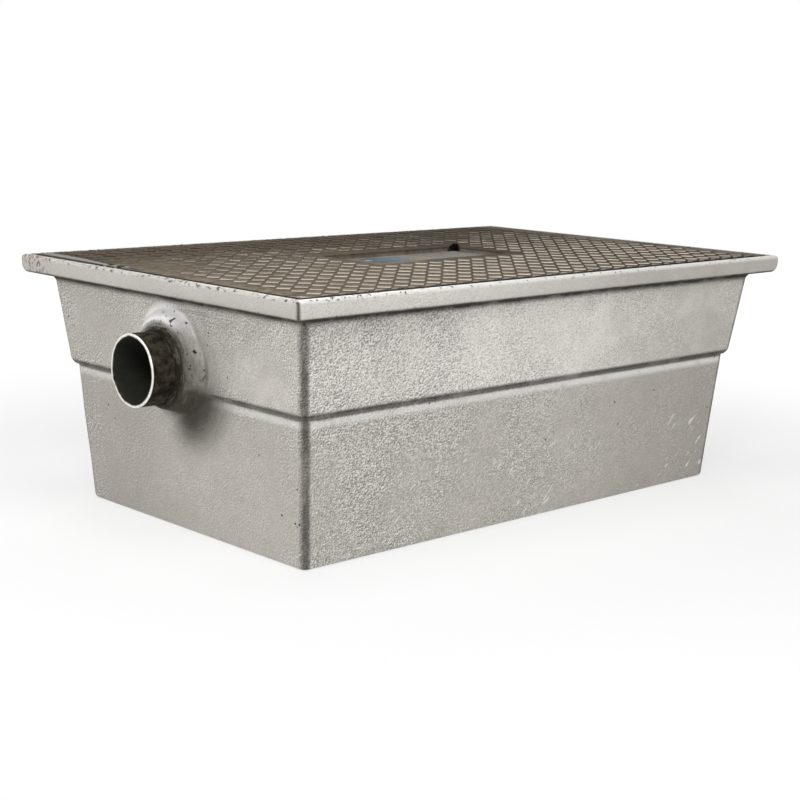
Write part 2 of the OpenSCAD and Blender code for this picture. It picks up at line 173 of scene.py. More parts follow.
def soften(corners, sigma, spacing=0.25):
    """A section through the given corners, sampled finely and smoothed by a Gaussian, so that its edges are
    rounded as a casting's are; its ends stay in place."""
    seg = np.linalg.norm(np.diff(corners[:, :2], axis=0), axis=1)
    s = np.concatenate([[0], np.cumsum(seg)])
    fine = np.arange(0, s[-1] + spacing / 2, spacing)
    path = np.stack([np.interp(fine, s, corners[:, k]) for k in range(corners.shape[1])], axis=1)
    reach = int(4 * sigma / spacing)
    kernel = np.exp(-0.5 * (np.arange(-reach, reach + 1) * spacing / sigma) ** 2)
    kernel /= kernel.sum()
    padded = np.concatenate([2 * path[:1] - path[reach:0:-1], path, 2 * path[-1:] - path[-2:-reach - 2:-1]])
    return np.stack([np.convolve(padded[:, k], kernel, "valid") for k in range(path.shape[1])], axis=1)


def section_rows(inset, z, radius):
    """Rows of a section, each the inset from the rim's outline, the height and the corner radius."""
    return np.stack(np.broadcast_arrays(inset, z, radius), axis=1)


def outer_section():
    """The tank's outside from the base over the lip to the edge of the rebate: quarter ovals at the foot, the
    step, the rim's fillet and its edges, joined and softened."""
    t = np.linspace(0, math.pi / 2, ARC_POINTS)
    s, c = 1 - np.sin(t), 1 - np.cos(t)
    foot = section_rows(low_in(0) + FOOT_R * s, FOOT_R * c, BODY_R - FOOT_R / 2 * s)
    step = section_rows(up_in(LEDGE_Z) + STEP_IN * s, STEP_Z + STEP_H * c, BODY_R)
    fillet = section_rows(RIM_OVER - RIM_FILLET * c, RIM_Z - RIM_FILLET * s, BODY_R)
    edge = section_rows(RIM_DRAW * s, RIM_Z + RIM_CURVE_H * c, RIM_R)
    top = section_rows(EDGE_BREAK * c, TRAP_H - EDGE_BREAK * s, RIM_R)
    top = np.concatenate([top, [[LIP_W, TRAP_H, REBATE_R]]])
    wall = soften(np.concatenate([foot, step, fillet]), WALL_SOFT)
    rim = soften(np.concatenate([fillet[-1:], edge, top]), RIM_SOFT)
    wall, rim = (resample(path, ROW_SPACING, ROWS_PER_RADIAN) for path in (wall, rim))
    return np.concatenate([wall, rim[1:]])


def inner_section(count, z_high, z_low):
    """The rebate and the inside down to the floor, with the given number of rows between two heights."""
    t = np.linspace(0, math.pi / 2, 5)[1:]
    base = low_in(FLOOR_T + FLOOR_R) + WALL
    below_ledge = LEDGE_Z - 0.02
    corners = np.array([[LIP_W, SEAT_Z, REBATE_R], [up_in(SEAT_Z) + WALL, SEAT_Z, INNER_R],
                        [up_in(LEDGE_Z) + WALL, LEDGE_Z, INNER_R],
                        [low_in(STEP_Z) + WALL, below_ledge, INNER_R], [base, FLOOR_T + FLOOR_R, INNER_R]])
    zs = np.linspace(z_high, z_low, count)
    down = section_rows(np.interp(-zs, -corners[1:, 1], corners[1:, 0]), zs, INNER_R)
    bend = section_rows(base + FLOOR_R * (1 - np.cos(t)), FLOOR_T + FLOOR_R * (1 - np.sin(t)), INNER_R)
    return np.concatenate([corners[:2], down, corners[-1:], bend])


def rim_columns(spacing, arc_steps):
    """Columns round the tank, anticlockwise: for each the share of the two corner centres beside it, its
    outward angle, and its distance along the girth from the nearest corner, negative on the end walls."""
    sign = np.array([[1, 1], [-1, 1], [-1, -1], [1, -1]], dtype=float)
    half_arc = BODY_R * math.pi / 4
    mix, angle, girth = [], [], []
    for c in range(4):
        a, b = sign[c], sign[(c + 1) % 4]
        length = 2 * (RIM_HALF_L if c % 2 == 0 else RIM_HALF_W)
        side = 1 if c % 2 == 0 else -1
        n = int(round(length / spacing / 2)) * 2
        f = np.arange(1, n)[:, None] / n
        mix += [np.repeat(a[None], arc_steps + 1, axis=0), (1 - f) * a + f * b]
        angle += [math.pi / 2 * (c + np.linspace(0, 1, arc_steps + 1)), np.full(n - 1, math.pi / 2 * (c + 1))]
        girth += [side * half_arc * np.linspace(-1, 1, arc_steps + 1),
                  side * (half_arc + np.minimum(f[:, 0], 1 - f[:, 0]) * length)]
    return np.concatenate(mix), np.concatenate(angle), np.concatenate(girth)


def cast_relief(points):
    """How far the cast wall stands out or in: broad waves, lumps and a finer sandy unevenness."""
    patchy = 0.5 + 0.5 * lumps(points, 95.0, 7)
    return (0.45 * lumps(points, 110.0, 1) + 0.30 * lumps(points, 38.0, 2)
            + (0.08 + 0.12 * patchy) * lumps(points, 14.0, 3)
            + (0.03 + 0.06 * patchy) * lumps(points, 6.5, 4))


def boss_height(y, z, wall_x):
    """Distance from the middle of the trap to the end wall with its boss: a dome that falls off with a power
    of the distance from its face, joined to the wall by a smooth maximum, and a collar whose hollow
    quarter-round runs up the tube."""
    rho = np.hypot(y, z - PIPE_Z)
    s = np.maximum(np.hypot(y, z - PIPE_Z - BOSS_UP) - BOSS_FACE_R, 0) / (BOSS_R - BOSS_FACE_R)
    dome = WALL_X + BOSS_OUT * (1 - s ** DOME_POWER)
    h = np.maximum(DOME_BLEND - np.abs(dome - wall_x), 0) / DOME_BLEND
    body = np.maximum(dome, wall_x) + h * h * DOME_BLEND / 4
    u = np.clip((BOSS_FACE_R - rho) / (BOSS_FACE_R - COLLAR_R), 0, 1)
    collar = BOSS_FACE + COLLAR_H * (1 - np.sqrt(1 - u * u)) - COLLAR_FALL * np.maximum(rho - BOSS_FACE_R, 0)
    return np.maximum(body, collar)


def pocket_height(y, z, wall_x):
    """The inner face of the end wall: the boss's flat back with a steep round edge, or the wall itself."""
    rho = np.hypot(y, z - PIPE_Z - BOSS_UP)
    return np.minimum(wall_x, BOSS_BACK + np.maximum(rho - BOSS_R + 0.5, 0) * POCKET_STEEP)


def guide_ribs():
    """The eight upright ribs that hold the baffles: one section that follows the wall, given its thickness
    along the trap and set in pairs at both walls beside each baffle."""
    half = lambda inset: RIM_HALF_W - inset - WALL
    top, root = LEDGE_Z + GUIDE_UP, WALL / 2
    section = np.array([
        [half(low_in(FLOOR_T)) - GUIDE_D, FLOOR_T - root], [half(low_in(STEP_Z)) - GUIDE_D, LEDGE_Z],
        [half(up_in(LEDGE_Z)) - GUIDE_D, LEDGE_Z + STEP_IN], [half(up_in(top)) - GUIDE_D, top],
        [half(up_in(top)) + root, top], [half(up_in(LEDGE_Z)) + root, LEDGE_Z],
        [half(low_in(STEP_Z)) + root, STEP_Z], [half(low_in(FLOOR_T)) + root, FLOOR_T - root]])
    m = len(section)
    points, faces, ends = [], [], []
    for node in ("inlet_baffle", "outlet_baffle"):
        low, high = box_mm(node)
        for x in (low[0] - GUIDE_CLEAR - GUIDE_T, high[0] + GUIDE_CLEAR):
            for side in (1, -1):
                pair = np.stack([np.column_stack([np.full(m, x + d), side * section[:, 0], section[:, 1]])
                                 for d in (0, GUIDE_T)])
                index = np.arange(2 * m).reshape(2, m) + 2 * m * len(points)
                index = index if side == 1 else index[:, ::-1]
                points.append(pair.reshape(-1, 3))
                faces.append(strip_faces(index)[:, ::-1])
                ends.append(np.stack([index[0], index[1][::-1]]))
    return np.concatenate(points), np.concatenate(faces), np.concatenate(ends)


def make_tank():
    """The cast tank: its section carried round the rim's outline, uneven as cast, with two bored bosses let
    into the end walls as rings between a rectangle of the wall and the bore."""
    outer = outer_section()
    mix, angle, girth = rim_columns(COLUMN_SPACING, CORNER_STEPS)
    normal = np.stack([np.cos(angle), np.sin(angle)], axis=1)
    reach = BOSS_R + BOSS_UP + BOSS_MARGIN
    first_rim = np.argmax(outer[:, 1] > RIM_Z - 0.5)
    on_wall = np.arange(len(outer)) < first_rim
    r0 = np.nonzero(on_wall & (outer[:, 1] < PIPE_Z - reach))[0][-1]
    r1 = np.nonzero(on_wall & (outer[:, 1] > PIPE_Z + reach))[0][0]
    inner = inner_section(r1 - r0 + 1, outer[r1, 1], outer[r0, 1])
    rows = np.concatenate([outer, inner])
    q0 = len(outer) + 2
    q1 = q0 + r1 - r0

    inset, z, r = rows.T
    flat = np.stack([mix[None, :, 0] * (RIM_HALF_L - inset - r)[:, None] + r[:, None] * normal[None, :, 0],
                     mix[None, :, 1] * (RIM_HALF_W - inset - r)[:, None] + r[:, None] * normal[None, :, 1],
                     np.broadcast_to(z[:, None], (len(rows), len(mix)))], axis=-1)
    relief = cast_relief(flat.reshape(-1, 3)).reshape(flat.shape[:2])
    outside = np.arange(len(rows)) < len(outer)
    rim_row = outside & (np.arange(len(rows)) >= first_rim)
    weight = np.clip(z / 6.0, 0, 1) * outside
    move = np.where(rim_row[:, None], 0.45 * np.minimum(relief - 0.25, 0), relief * weight[:, None])
    grid = flat.copy()
    grid[..., :2] += move[..., None] * normal[None]

    index = np.arange(grid.shape[0] * grid.shape[1]).reshape(grid.shape[:2])
    keep = np.ones((len(rows) - 1, len(mix)), dtype=bool)
    far_off = -200.0
    points, faces, corner = [grid.reshape(-1, 3)], [], [np.tile(girth, len(rows))]
    total = len(points[0])
    wall_out = lambda zz: RIM_HALF_L - np.interp(zz, outer[:r1 + 2, 1], outer[:r1 + 2, 0])
    wall_in = lambda zz: RIM_HALF_L - np.interp(-zz, -inner[1:, 1], inner[1:, 0])
    for side in (1, -1):
        on_end = np.nonzero((np.abs(normal[:, 0] - side) < 1e-6) & (np.abs(mix[:, 1]) < 1))[0]
        ys = grid[r0, on_end, 1]
        run = np.sort(on_end[np.abs(ys) < reach + 2])
        mouths = []
        for a, b, surface, wall, rough, count in ((r0, r1, boss_height, wall_out, 1.0, BOSS_ROWS),
                                                  (q0, q1, pocket_height, wall_in, 0.0, POCKET_ROWS)):
            keep[a:b, run[:-1]] = False
            loop = np.concatenate([index[a, run[:-1]], index[a:b, run[-1]],
                                   index[b, run[:0:-1]], index[b:a:-1, run[0]]])
            border = points[0][loop]
            theta = np.arctan2(border[:, 2] - PIPE_Z, border[:, 1])
            circle = np.stack([BORE_R * np.cos(theta), PIPE_Z + BORE_R * np.sin(theta)], axis=1)
            t = 1 - (1 - np.linspace(0, 1, count + 1)[1:, None, None]) ** ROW_EASE
            yz = (1 - t) * border[None, :, 1:] + t * circle[None]
            height = surface(yz[..., 0], yz[..., 1], wall(yz[..., 1]))
            ring = np.concatenate([side * height[..., None], yz], axis=-1)
            shallow = np.clip((np.hypot(yz[..., 0], yz[..., 1] - PIPE_Z) - COLLAR_R) / 24, 0, 1)
            ring[..., 0] += side * rough * shallow * cast_relief(ring.reshape(-1, 3)).reshape(ring.shape[:2])
            numbers = total + np.arange(count * len(loop)).reshape(count, len(loop))
            faces.append(strip_faces(np.concatenate([loop[None], numbers])))
            points.append(ring.reshape(-1, 3))
            corner.append(np.full(count * len(loop), far_off))
            total += count * len(loop)
            mouths.append(numbers[-1])
        # The bore: the outer mouth joined to the inner one, whose rows run the other way round
        out_y, out_z = (np.concatenate(points)[mouths[0]][:, 1:] - [0, PIPE_Z]).T
        in_y, in_z = (np.concatenate(points)[mouths[1]][:, 1:] - [0, PIPE_Z]).T
        turn_out, turn_in = np.argsort(np.arctan2(out_z, out_y)), np.argsort(np.arctan2(in_z, in_y))
        pair = np.stack([mouths[0][turn_out], mouths[1][turn_in]])
        faces.append(strip_faces(pair if side == 1 else pair[:, ::-1]))

    faces.append(strip_faces(index)[keep.ravel()])
    rib_points, rib_faces, rib_ends = guide_ribs()
    faces.append(rib_faces + total)
    caps = [index[0][::-1][None], index[-1][None], rib_ends + total]
    points.append(rib_points)
    corner.append(np.full(len(rib_points), far_off))
    return new_piece("cast_tank", np.concatenate(points), [np.concatenate(faces)] + caps, 50,
                     {"corner": np.concatenate(corner)})


def make_tube(name, side):
    """A spigot: a closed section of bore, rounded cut end, outside and turned seat, revolved round the pipe's
    axis, its cut end slightly uneven."""
    bore, seat = PIPE_R - PIPE_T, PIPE_R - SEAT_CUT
    t = np.linspace(0, math.pi, LIP_POINTS)
    swing = np.sign(np.cos(t)) * np.abs(np.cos(t)) ** LIP_POWER
    lip = np.stack([PIPE_R - PIPE_T / 2 - (PIPE_T / 2) * swing,
                    PIPE_END - LIP_ROUND + LIP_ROUND * np.sin(t) ** LIP_POWER], axis=1)
    bore_x = np.linspace(BOSS_BACK + 0.5, PIPE_END - 3, TUBE_BORE_ROWS)
    tube_x = np.linspace(PIPE_END - 3, COLLAR_END, TUBE_ROWS)
    section = np.concatenate([
        [[bore, BOSS_BACK]], np.stack([np.full(TUBE_BORE_ROWS, bore), bore_x], axis=1), lip,
        np.stack([np.full(TUBE_ROWS, PIPE_R), tube_x], axis=1), [[seat, COLLAR_END], [seat, BOSS_BACK]]])
    n = TUBE_SIDES
    phi = np.arange(n) * 2 * math.pi / n
    ring = np.stack([np.broadcast_to(section[:, None, 1], (len(section), n)),
                     section[:, None, 0] * np.cos(phi), section[:, None, 0] * np.sin(phi)], axis=-1)
    uneven = lumps(ring.reshape(-1, 3), 9.0, 11).reshape(ring.shape[:2])
    near_end = np.clip((ring[..., 0] - PIPE_END + 3) / 3, 0, 1)
    ring[..., 0] -= near_end * 0.35 * (1 + uneven)
    outside = (section[:, 0] > PIPE_R - 0.01)[:, None] * (ring[..., 0] < PIPE_END - 2)
    ring[..., 1:] *= (1 - 0.004 * outside * (0.5 + 0.5 * uneven))[..., None]
    ring[..., 0] *= side
    ring[..., 2] += PIPE_Z
    index = np.arange(len(section) * n).reshape(len(section), n)
    faces = strip_faces(np.concatenate([index, index[:1]]))
    return new_piece(name, ring.reshape(-1, 3), [faces if side == -1 else faces[:, ::-1]], 45)


def rounded(corners, radii, steps=5):
    """A closed outline whose corners are quadratic curves that start and end at the given distances."""
    before, after = np.roll(corners, 1, axis=0) - corners, np.roll(corners, -1, axis=0) - corners
    before /= np.linalg.norm(before, axis=1)[:, None]
    after /= np.linalg.norm(after, axis=1)[:, None]
    t = np.linspace(0, 1, steps)[None, :, None]
    r = np.asarray(radii, dtype=float)[:, None, None]
    start, end = corners[:, None] + r * before[:, None], corners[:, None] + r * after[:, None]
    return ((1 - t) ** 2 * start + 2 * t * (1 - t) * corners[:, None] + t ** 2 * end).reshape(-1, 2)


def drawn_in(outline, distance):
    """An anticlockwise outline moved inwards along its own normals."""
    along = np.roll(outline, -1, axis=0) - np.roll(outline, 1, axis=0)
    along /= np.linalg.norm(along, axis=1)[:, None]
    return outline + distance * np.stack([-along[:, 1], along[:, 0]], axis=1)


def stacked(outline, rows):
    """Loops of an outline, each drawn in by an inset and set at a height."""
    return np.stack([np.column_stack([drawn_in(outline, d), np.full(len(outline), z)]) for d, z in rows])


def key_outline(grow):
    """The wedge of the key pocket: it starts at a corner of the panel and narrows outwards."""
    local = np.array([[-grow, -KEY_W / 2 - grow], [KEY_L + grow, -KEY_TIP / 2 - grow],
                      [KEY_L + grow, KEY_TIP / 2 + grow], [-grow, KEY_W / 2 + grow]])
    c, s = math.cos(KEY_TURN), math.sin(KEY_TURN)
    return np.array([KEY_X, KEY_Y]) + local @ np.array([[c, s], [-s, c]])


def crossing(a, b, c, d):
    """Where the line through a and b meets the line through c and d."""
    m = np.stack([b - a, c - d], axis=1)
    return a + (b - a) * np.linalg.solve(m, c - a)[0]


def ring_halves(outer, inner, outer_cut, inner_cut):
    """A flat face with a hole as two faces: both loops are cut at two places and joined across the cuts."""
    roll_o, roll_i = np.roll(outer, -outer_cut[0]), np.roll(inner, -inner_cut[0])
    o, i = (outer_cut[1] - outer_cut[0]) % len(outer), (inner_cut[1] - inner_cut[0]) % len(inner)
    first = np.concatenate([roll_o[:o + 1], roll_i[:i + 1][::-1]])
    second = np.concatenate([roll_o[o:], roll_o[:1], roll_i[:1], roll_i[i:][::-1]])
    return [first[None], second[None]]


def nearest(outline, point):
    """Number of the outline's point that is nearest to a place."""
    return int(np.argmin(np.hypot(*(outline - np.asarray(point)).T)))


def prism(low, high, number):
    """A closed box between two corners: its eight points and six faces, numbered from the given point."""
    u = np.array([[0, 0, 0], [1, 0, 0], [1, 1, 0], [0, 1, 0], [0, 0, 1], [1, 0, 1], [1, 1, 1], [0, 1, 1]])
    f = np.array([[3, 2, 1, 0], [4, 5, 6, 7], [0, 1, 5, 4], [1, 2, 6, 5], [2, 3, 7, 6], [3, 0, 4, 7]])
    return np.asarray(low) + u * (np.asarray(high) - np.asarray(low)), f + number


def tread_places():
    """Centres of the tread pads: a square lattice that keeps clear of the edges, the panel and the pocket."""
    half = PAD_SIDE / math.sqrt(2)
    nx = int((COVER_HALF_L - PLAIN_END + half / 2) / PAD_PITCH)
    ny = int((COVER_HALF_W - PLAIN_SIDE + half / 2) / PAD_PITCH - 0.5)
    x, y = np.meshgrid(np.arange(-nx, nx + 1) * PAD_PITCH, (np.arange(-ny - 1, ny + 1) + 0.5) * PAD_PITCH)
    x, y = x.ravel(), y.ravel()
    c, s = math.cos(KEY_TURN), math.sin(KEY_TURN)
    kx, ky = x - KEY_X, y - KEY_Y
    along, across = kx * c + ky * s, ky * c - kx * s
    in_panel = (np.abs(x) < PANEL_HALF_L + half) & (np.abs(y) < PANEL_HALF_W + half)
    in_key = (np.abs(across) < KEY_W / 2 + PAD_SIDE / 2) & (along > 0) & (along < KEY_L + PAD_SIDE / 2)
    free = ~in_panel & ~in_key
    return np.stack([x[free], y[free]], axis=1)


def tread_pads(number):
    """All the pads at once: rings of a squared-off circle set cornerwise, rising from the plate to a crowned
    top, each pad a little different in size, height and slant, and low where the tread is worn away. Each
    point also gets its wear and how far it lies towards the near edge of its pad, from -1 to 1."""
    places = tread_places()
    rng = np.random.default_rng(5)
    n, m = len(places), PAD_POINTS
    phi = (np.arange(m) + 0.5) * 2 * math.pi / m
    circle = np.stack([np.cos(phi), np.sin(phi)], axis=1)
    square = np.sign(circle) * np.abs(circle) ** PAD_POWER
    turn = np.array([[1, 1], [-1, 1]]) / math.sqrt(2)
    levels = np.array([[1.02, -0.5], [1.0, 0.30], [0.97, 0.74], [0.86, 0.94]])
    worn = np.exp(-((places[:, 0] + 252) / 26) ** 4 - ((places[:, 1] - 45) / 62) ** 4)
    worn = np.maximum(worn, np.exp(-((COVER_HALF_W - places[:, 1]) / 16) ** 2))
    worn = np.maximum(worn, np.exp(-((COVER_HALF_L - places[:, 0]) / 30) ** 2))
    tall = PAD_H * (1 - 0.22 * rng.random(n)) * (1 - 0.75 * worn)
    wide = PAD_SIDE / 2 * (1 - 0.03 * rng.random(n))
    lean = 0.018 * rng.standard_normal((n, 2))
    flat = (square @ turn)[None, None] * levels[None, :, None, :1] * wide[:, None, None, None]
    rise = tall[:, None, None] * np.broadcast_to(levels[None, :, None, 1], (n, 4, m))
    rise = np.minimum(rise + (rise > 0) * np.einsum("npqk,nk->npq", flat, lean), PAD_H)
    field = np.array([COVER_HALF_L - PLAIN_END, COVER_HALF_W - PLAIN_SIDE])
    level = np.clip(flat + places[:, None, None], -field, field)
    xyz = np.concatenate([level, (COVER_TOP + rise)[..., None]], axis=-1)
    tip = np.column_stack([np.clip(places, 2 - field, field - 2), COVER_TOP + tall])
    points = np.concatenate([xyz.reshape(n, -1, 3), tip[:, None]], axis=1)
    worn_edge = np.concatenate([np.repeat([0.0, 0.25, 1.0, 0.62], m), [0.25]])
    shade = worn_edge[None] * (0.55 + 0.45 * rng.random((n, 1)))
    near = np.append(np.clip((square * levels[:, None, :1])[..., 0] * -1, -1, 1).ravel(), 0)
    near = np.broadcast_to(near, (n, 4 * m + 1))
    ring = np.arange(4 * m).reshape(4, m)
    quads = strip_faces(ring)
    fan = np.stack([ring[3], np.roll(ring[3], -1), np.full(m, 4 * m)], axis=1)
    base = (np.arange(n) * (4 * m + 1))[:, None, None] + number
    faces = (quads[None] + base).reshape(-1, 4), (fan[None] + base).reshape(-1, 3)
    return points.reshape(-1, 3), *faces, shade.ravel(), near.ravel()


def make_cover():
    """The cover: a plate whose outline has two prising notches, edges rounded through stacked loops, a sunk
    panel that runs into a deeper wedge-shaped key pocket, ribs below and the chequered tread on top."""
    l, w, d = COVER_HALF_L, COVER_HALF_W, NOTCH_D
    notch = np.concatenate([[[-l, y + NOTCH_W / 2], [-l + d, y + NOTCH_W / 2], [-l + d, y - NOTCH_W / 2],
                             [-l, y - NOTCH_W / 2]] for y in reversed(NOTCH_YS)])
    edge = rounded(np.concatenate([[[l, -w], [l, w], [-l, w]], notch, [[-l, -w]]]),
                   [COVER_R] * 3 + [SMALL_R] * 8 + [COVER_R])
    wedge = key_outline(0)
    p, q = PANEL_HALF_L, PANEL_HALF_W
    right = crossing(wedge[0], wedge[1], np.array([p, -q]), np.array([p, q]))
    left = crossing(wedge[3], wedge[2], np.array([-p, q]), np.array([p, q]))
    mouth = rounded(np.array([[-p, q], [-p, -q], [p, -q], right, wedge[1], wedge[2], left]),
                    [PANEL_R] * 3 + [MOUTH_R, SMALL_R, SMALL_R, MOUTH_R])
    along = (wedge[1] + wedge[2] - wedge[0] - wedge[3]) / (2 * KEY_L)
    pocket = np.stack([wedge[0] + 6 * along, wedge[1], wedge[2], wedge[3] + 6 * along])
    pocket = drawn_in(rounded(pocket, [SMALL_R] * 4), 0.7)

    floor_z, deep_z = COVER_TOP - PANEL_D, COVER_TOP - KEY_D
    loops = [
        stacked(edge, [(0.7, COVER_Z), (0.2, COVER_Z + 0.2), (0, COVER_Z + 0.7), (0, COVER_TOP - 0.9),
                       (0.12, COVER_TOP - 0.38), (0.4, COVER_TOP - 0.1), (0.9, COVER_TOP)]),
        stacked(mouth, [(-0.9, COVER_TOP), (-0.4, COVER_TOP - 0.12), (-0.1, COVER_TOP - 0.42),
                        (0, COVER_TOP - 0.9), (0.1, floor_z + 0.6), (0.25, floor_z + 0.2), (0.5, floor_z)]),
        stacked(pocket, [(0, floor_z), (0.2, floor_z - 0.5), (0.3, deep_z + 0.5), (0.6, deep_z)])]
    points, faces, number = [], [], 0
    index = []
    for loop in loops:
        index.append(np.arange(loop.shape[0] * loop.shape[1]).reshape(loop.shape[:2]) + number)
        points.append(loop.reshape(-1, 3))
        faces.append(strip_faces(index[-1]))
        number += loop.shape[0] * loop.shape[1]
    edge_in, mouth_out, mouth_in = loops[0][-1][:, :2], loops[1][0][:, :2], loops[1][-1][:, :2]
    far, tip = np.array([-p, -q]), (wedge[1] + wedge[2]) / 2
    groups = [index[0][0][::-1][None], index[2][-1][None]]
    groups += ring_halves(index[0][-1], index[1][0],
                          (nearest(edge_in, (-l, -w)), nearest(edge_in, (l, w))),
                          (nearest(mouth_out, far), nearest(mouth_out, tip)))
    groups += ring_halves(index[1][-1], index[2][0],
                          (nearest(mouth_in, far), nearest(mouth_in, tip)),
                          (nearest(pocket, (wedge[0] + wedge[3]) / 2), nearest(pocket, tip)))

    # Ribs and the backs of the panel and the pocket, let into the plate from below
    half_l = RIM_HALF_L - up_in(SEAT_Z) - WALL - RIB_CLEAR
    half_w = RIM_HALF_W - up_in(SEAT_Z) - WALL - RIB_CLEAR
    low, high = RIB_LOW, COVER_Z + 0.5
    crossings = -half_l + 2 * half_l * np.arange(1, RIB_COUNT + 1) / (RIB_COUNT + 1)
    in_l, in_w = half_l - RIB_T, half_w - RIB_T
    bars = [((-half_l, -half_w, low), (half_l, -in_w, high)), ((-half_l, in_w, low), (half_l, half_w, high)),
            ((-half_l, -half_w, low), (-in_l, half_w, high)), ((in_l, -half_w, low), (half_l, half_w, high))]
    bars += [((x - RIB_T / 2, -half_w, low), (x + RIB_T / 2, half_w, high)) for x in crossings]
    bars += [((-half_l, -RIB_T / 2, low), (half_l, RIB_T / 2, high)),
             ((-p - PANEL_BACK, -q - PANEL_BACK, floor_z - PANEL_BACK),
              (p + PANEL_BACK, q + PANEL_BACK, high))]
    for corner_low, corner_high in bars:
        box_points, box_faces = prism(corner_low, corner_high, number)
        points.append(box_points)
        faces.append(box_faces)
        number += 8
    under = stacked(key_outline(PANEL_BACK), [(0, deep_z - PANEL_BACK), (0, high)])
    rows = np.arange(8).reshape(2, 4) + number
    points.append(under.reshape(-1, 3))
    faces.append(strip_faces(rows))
    groups += [rows[0][::-1][None], rows[1][None]]
    number += 8

    pad_points, pad_quads, pad_fans, pad_shade, pad_near = tread_pads(number)
    points.append(pad_points)
    faces.append(pad_quads)
    shade = np.concatenate([np.full(number, -1.0), pad_shade])
    return new_piece("tread_cover", np.concatenate(points), [np.concatenate(faces), pad_fans] + groups, 38,
                     {"pad_wear": np.maximum(shade, 0), "on_pad": (shade >= 0).astype(float),
                      "pad_near": np.concatenate([np.zeros(number), pad_near])})


# Finishes. In the materials, places and widths are millimetres, and shares and noises run from 0 to 1

class Field:
    """A value, colour or vector that varies over a surface: one shader socket. Sums, differences, products,
    quotients, powers and sizes add Math nodes; node() adds any other node."""

    def __init__(self, tree, socket=None):
        self.tree, self.socket = tree, socket

    def node(self, kind, settings, inputs, output=0):
        """A node of a type, its settings set first, its inputs given as numbers, colours or fields."""
        made = self.tree.nodes.new("ShaderNode" + kind)
        for key, value in settings.items():
            setattr(made, key, value)
        for key, value in inputs.items():
            if isinstance(value, Field):
                self.tree.links.new(value.socket, made.inputs[key])
            else:
                made.inputs[key].default_value = value
        return Field(self.tree, made.outputs[output])

    def math(self, operation, *values):
        """A Math node with the values as its inputs."""
        return self.node("Math", {"operation": operation}, dict(enumerate(values)))

    def output(self, kind, shader):
        """Ends the tree with the output node of a material or of the world."""
        end = self.tree.nodes.new("ShaderNodeOutput" + kind)
        self.tree.links.new(shader.socket, end.inputs["Surface"])

    def __add__(self, other):
        return self.math("ADD", self, other)

    def __sub__(self, other):
        return self.math("SUBTRACT", self, other)

    def __rsub__(self, other):
        return self.math("SUBTRACT", other, self)

    def __mul__(self, other):
        return self.math("MULTIPLY", self, other)

    def __truediv__(self, other):
        return self.math("DIVIDE", self, other)

    def __pow__(self, other):
        return self.math("POWER", self, other)

    def __abs__(self):
        return self.math("ABSOLUTE", self)

    __radd__, __rmul__ = __add__, __mul__

    def ramp(self, low, high):
        """Smooth step from 0 at low to 1 at high; low may be the larger."""
        return self.node("MapRange", {"interpolation_type": "SMOOTHSTEP"},
                         {"Value": self, "From Min": low, "From Max": high})

    def bell(self, middle, width):
        """1 at the middle, falling off on both sides over about the width."""
        return abs(self - middle).ramp(width, 0)

    def most(self, *others):
        """The largest of this field and others at each place."""
        largest = self
        for other in others:
            largest = self.math("MAXIMUM", largest, other)
        return largest

    def least(self, other):
        """The smaller of this field and another at each place."""
        return self.math("MINIMUM", self, other)

    def tint(self, plain, full):
        """Colour that goes from plain to full as this field goes from 0 to 1."""
        plain, full = (c if isinstance(c, Field) else (*c, 1) for c in (plain, full))
        return self.node("Mix", {"data_type": "RGBA"}, {0: self, 6: plain, 7: full}, 2)


def layered(colour, *layers):
    """A colour under layers of others, each given by its share and its colour."""
    for share, full in layers:
        colour = share.tint(colour, full)
    return colour


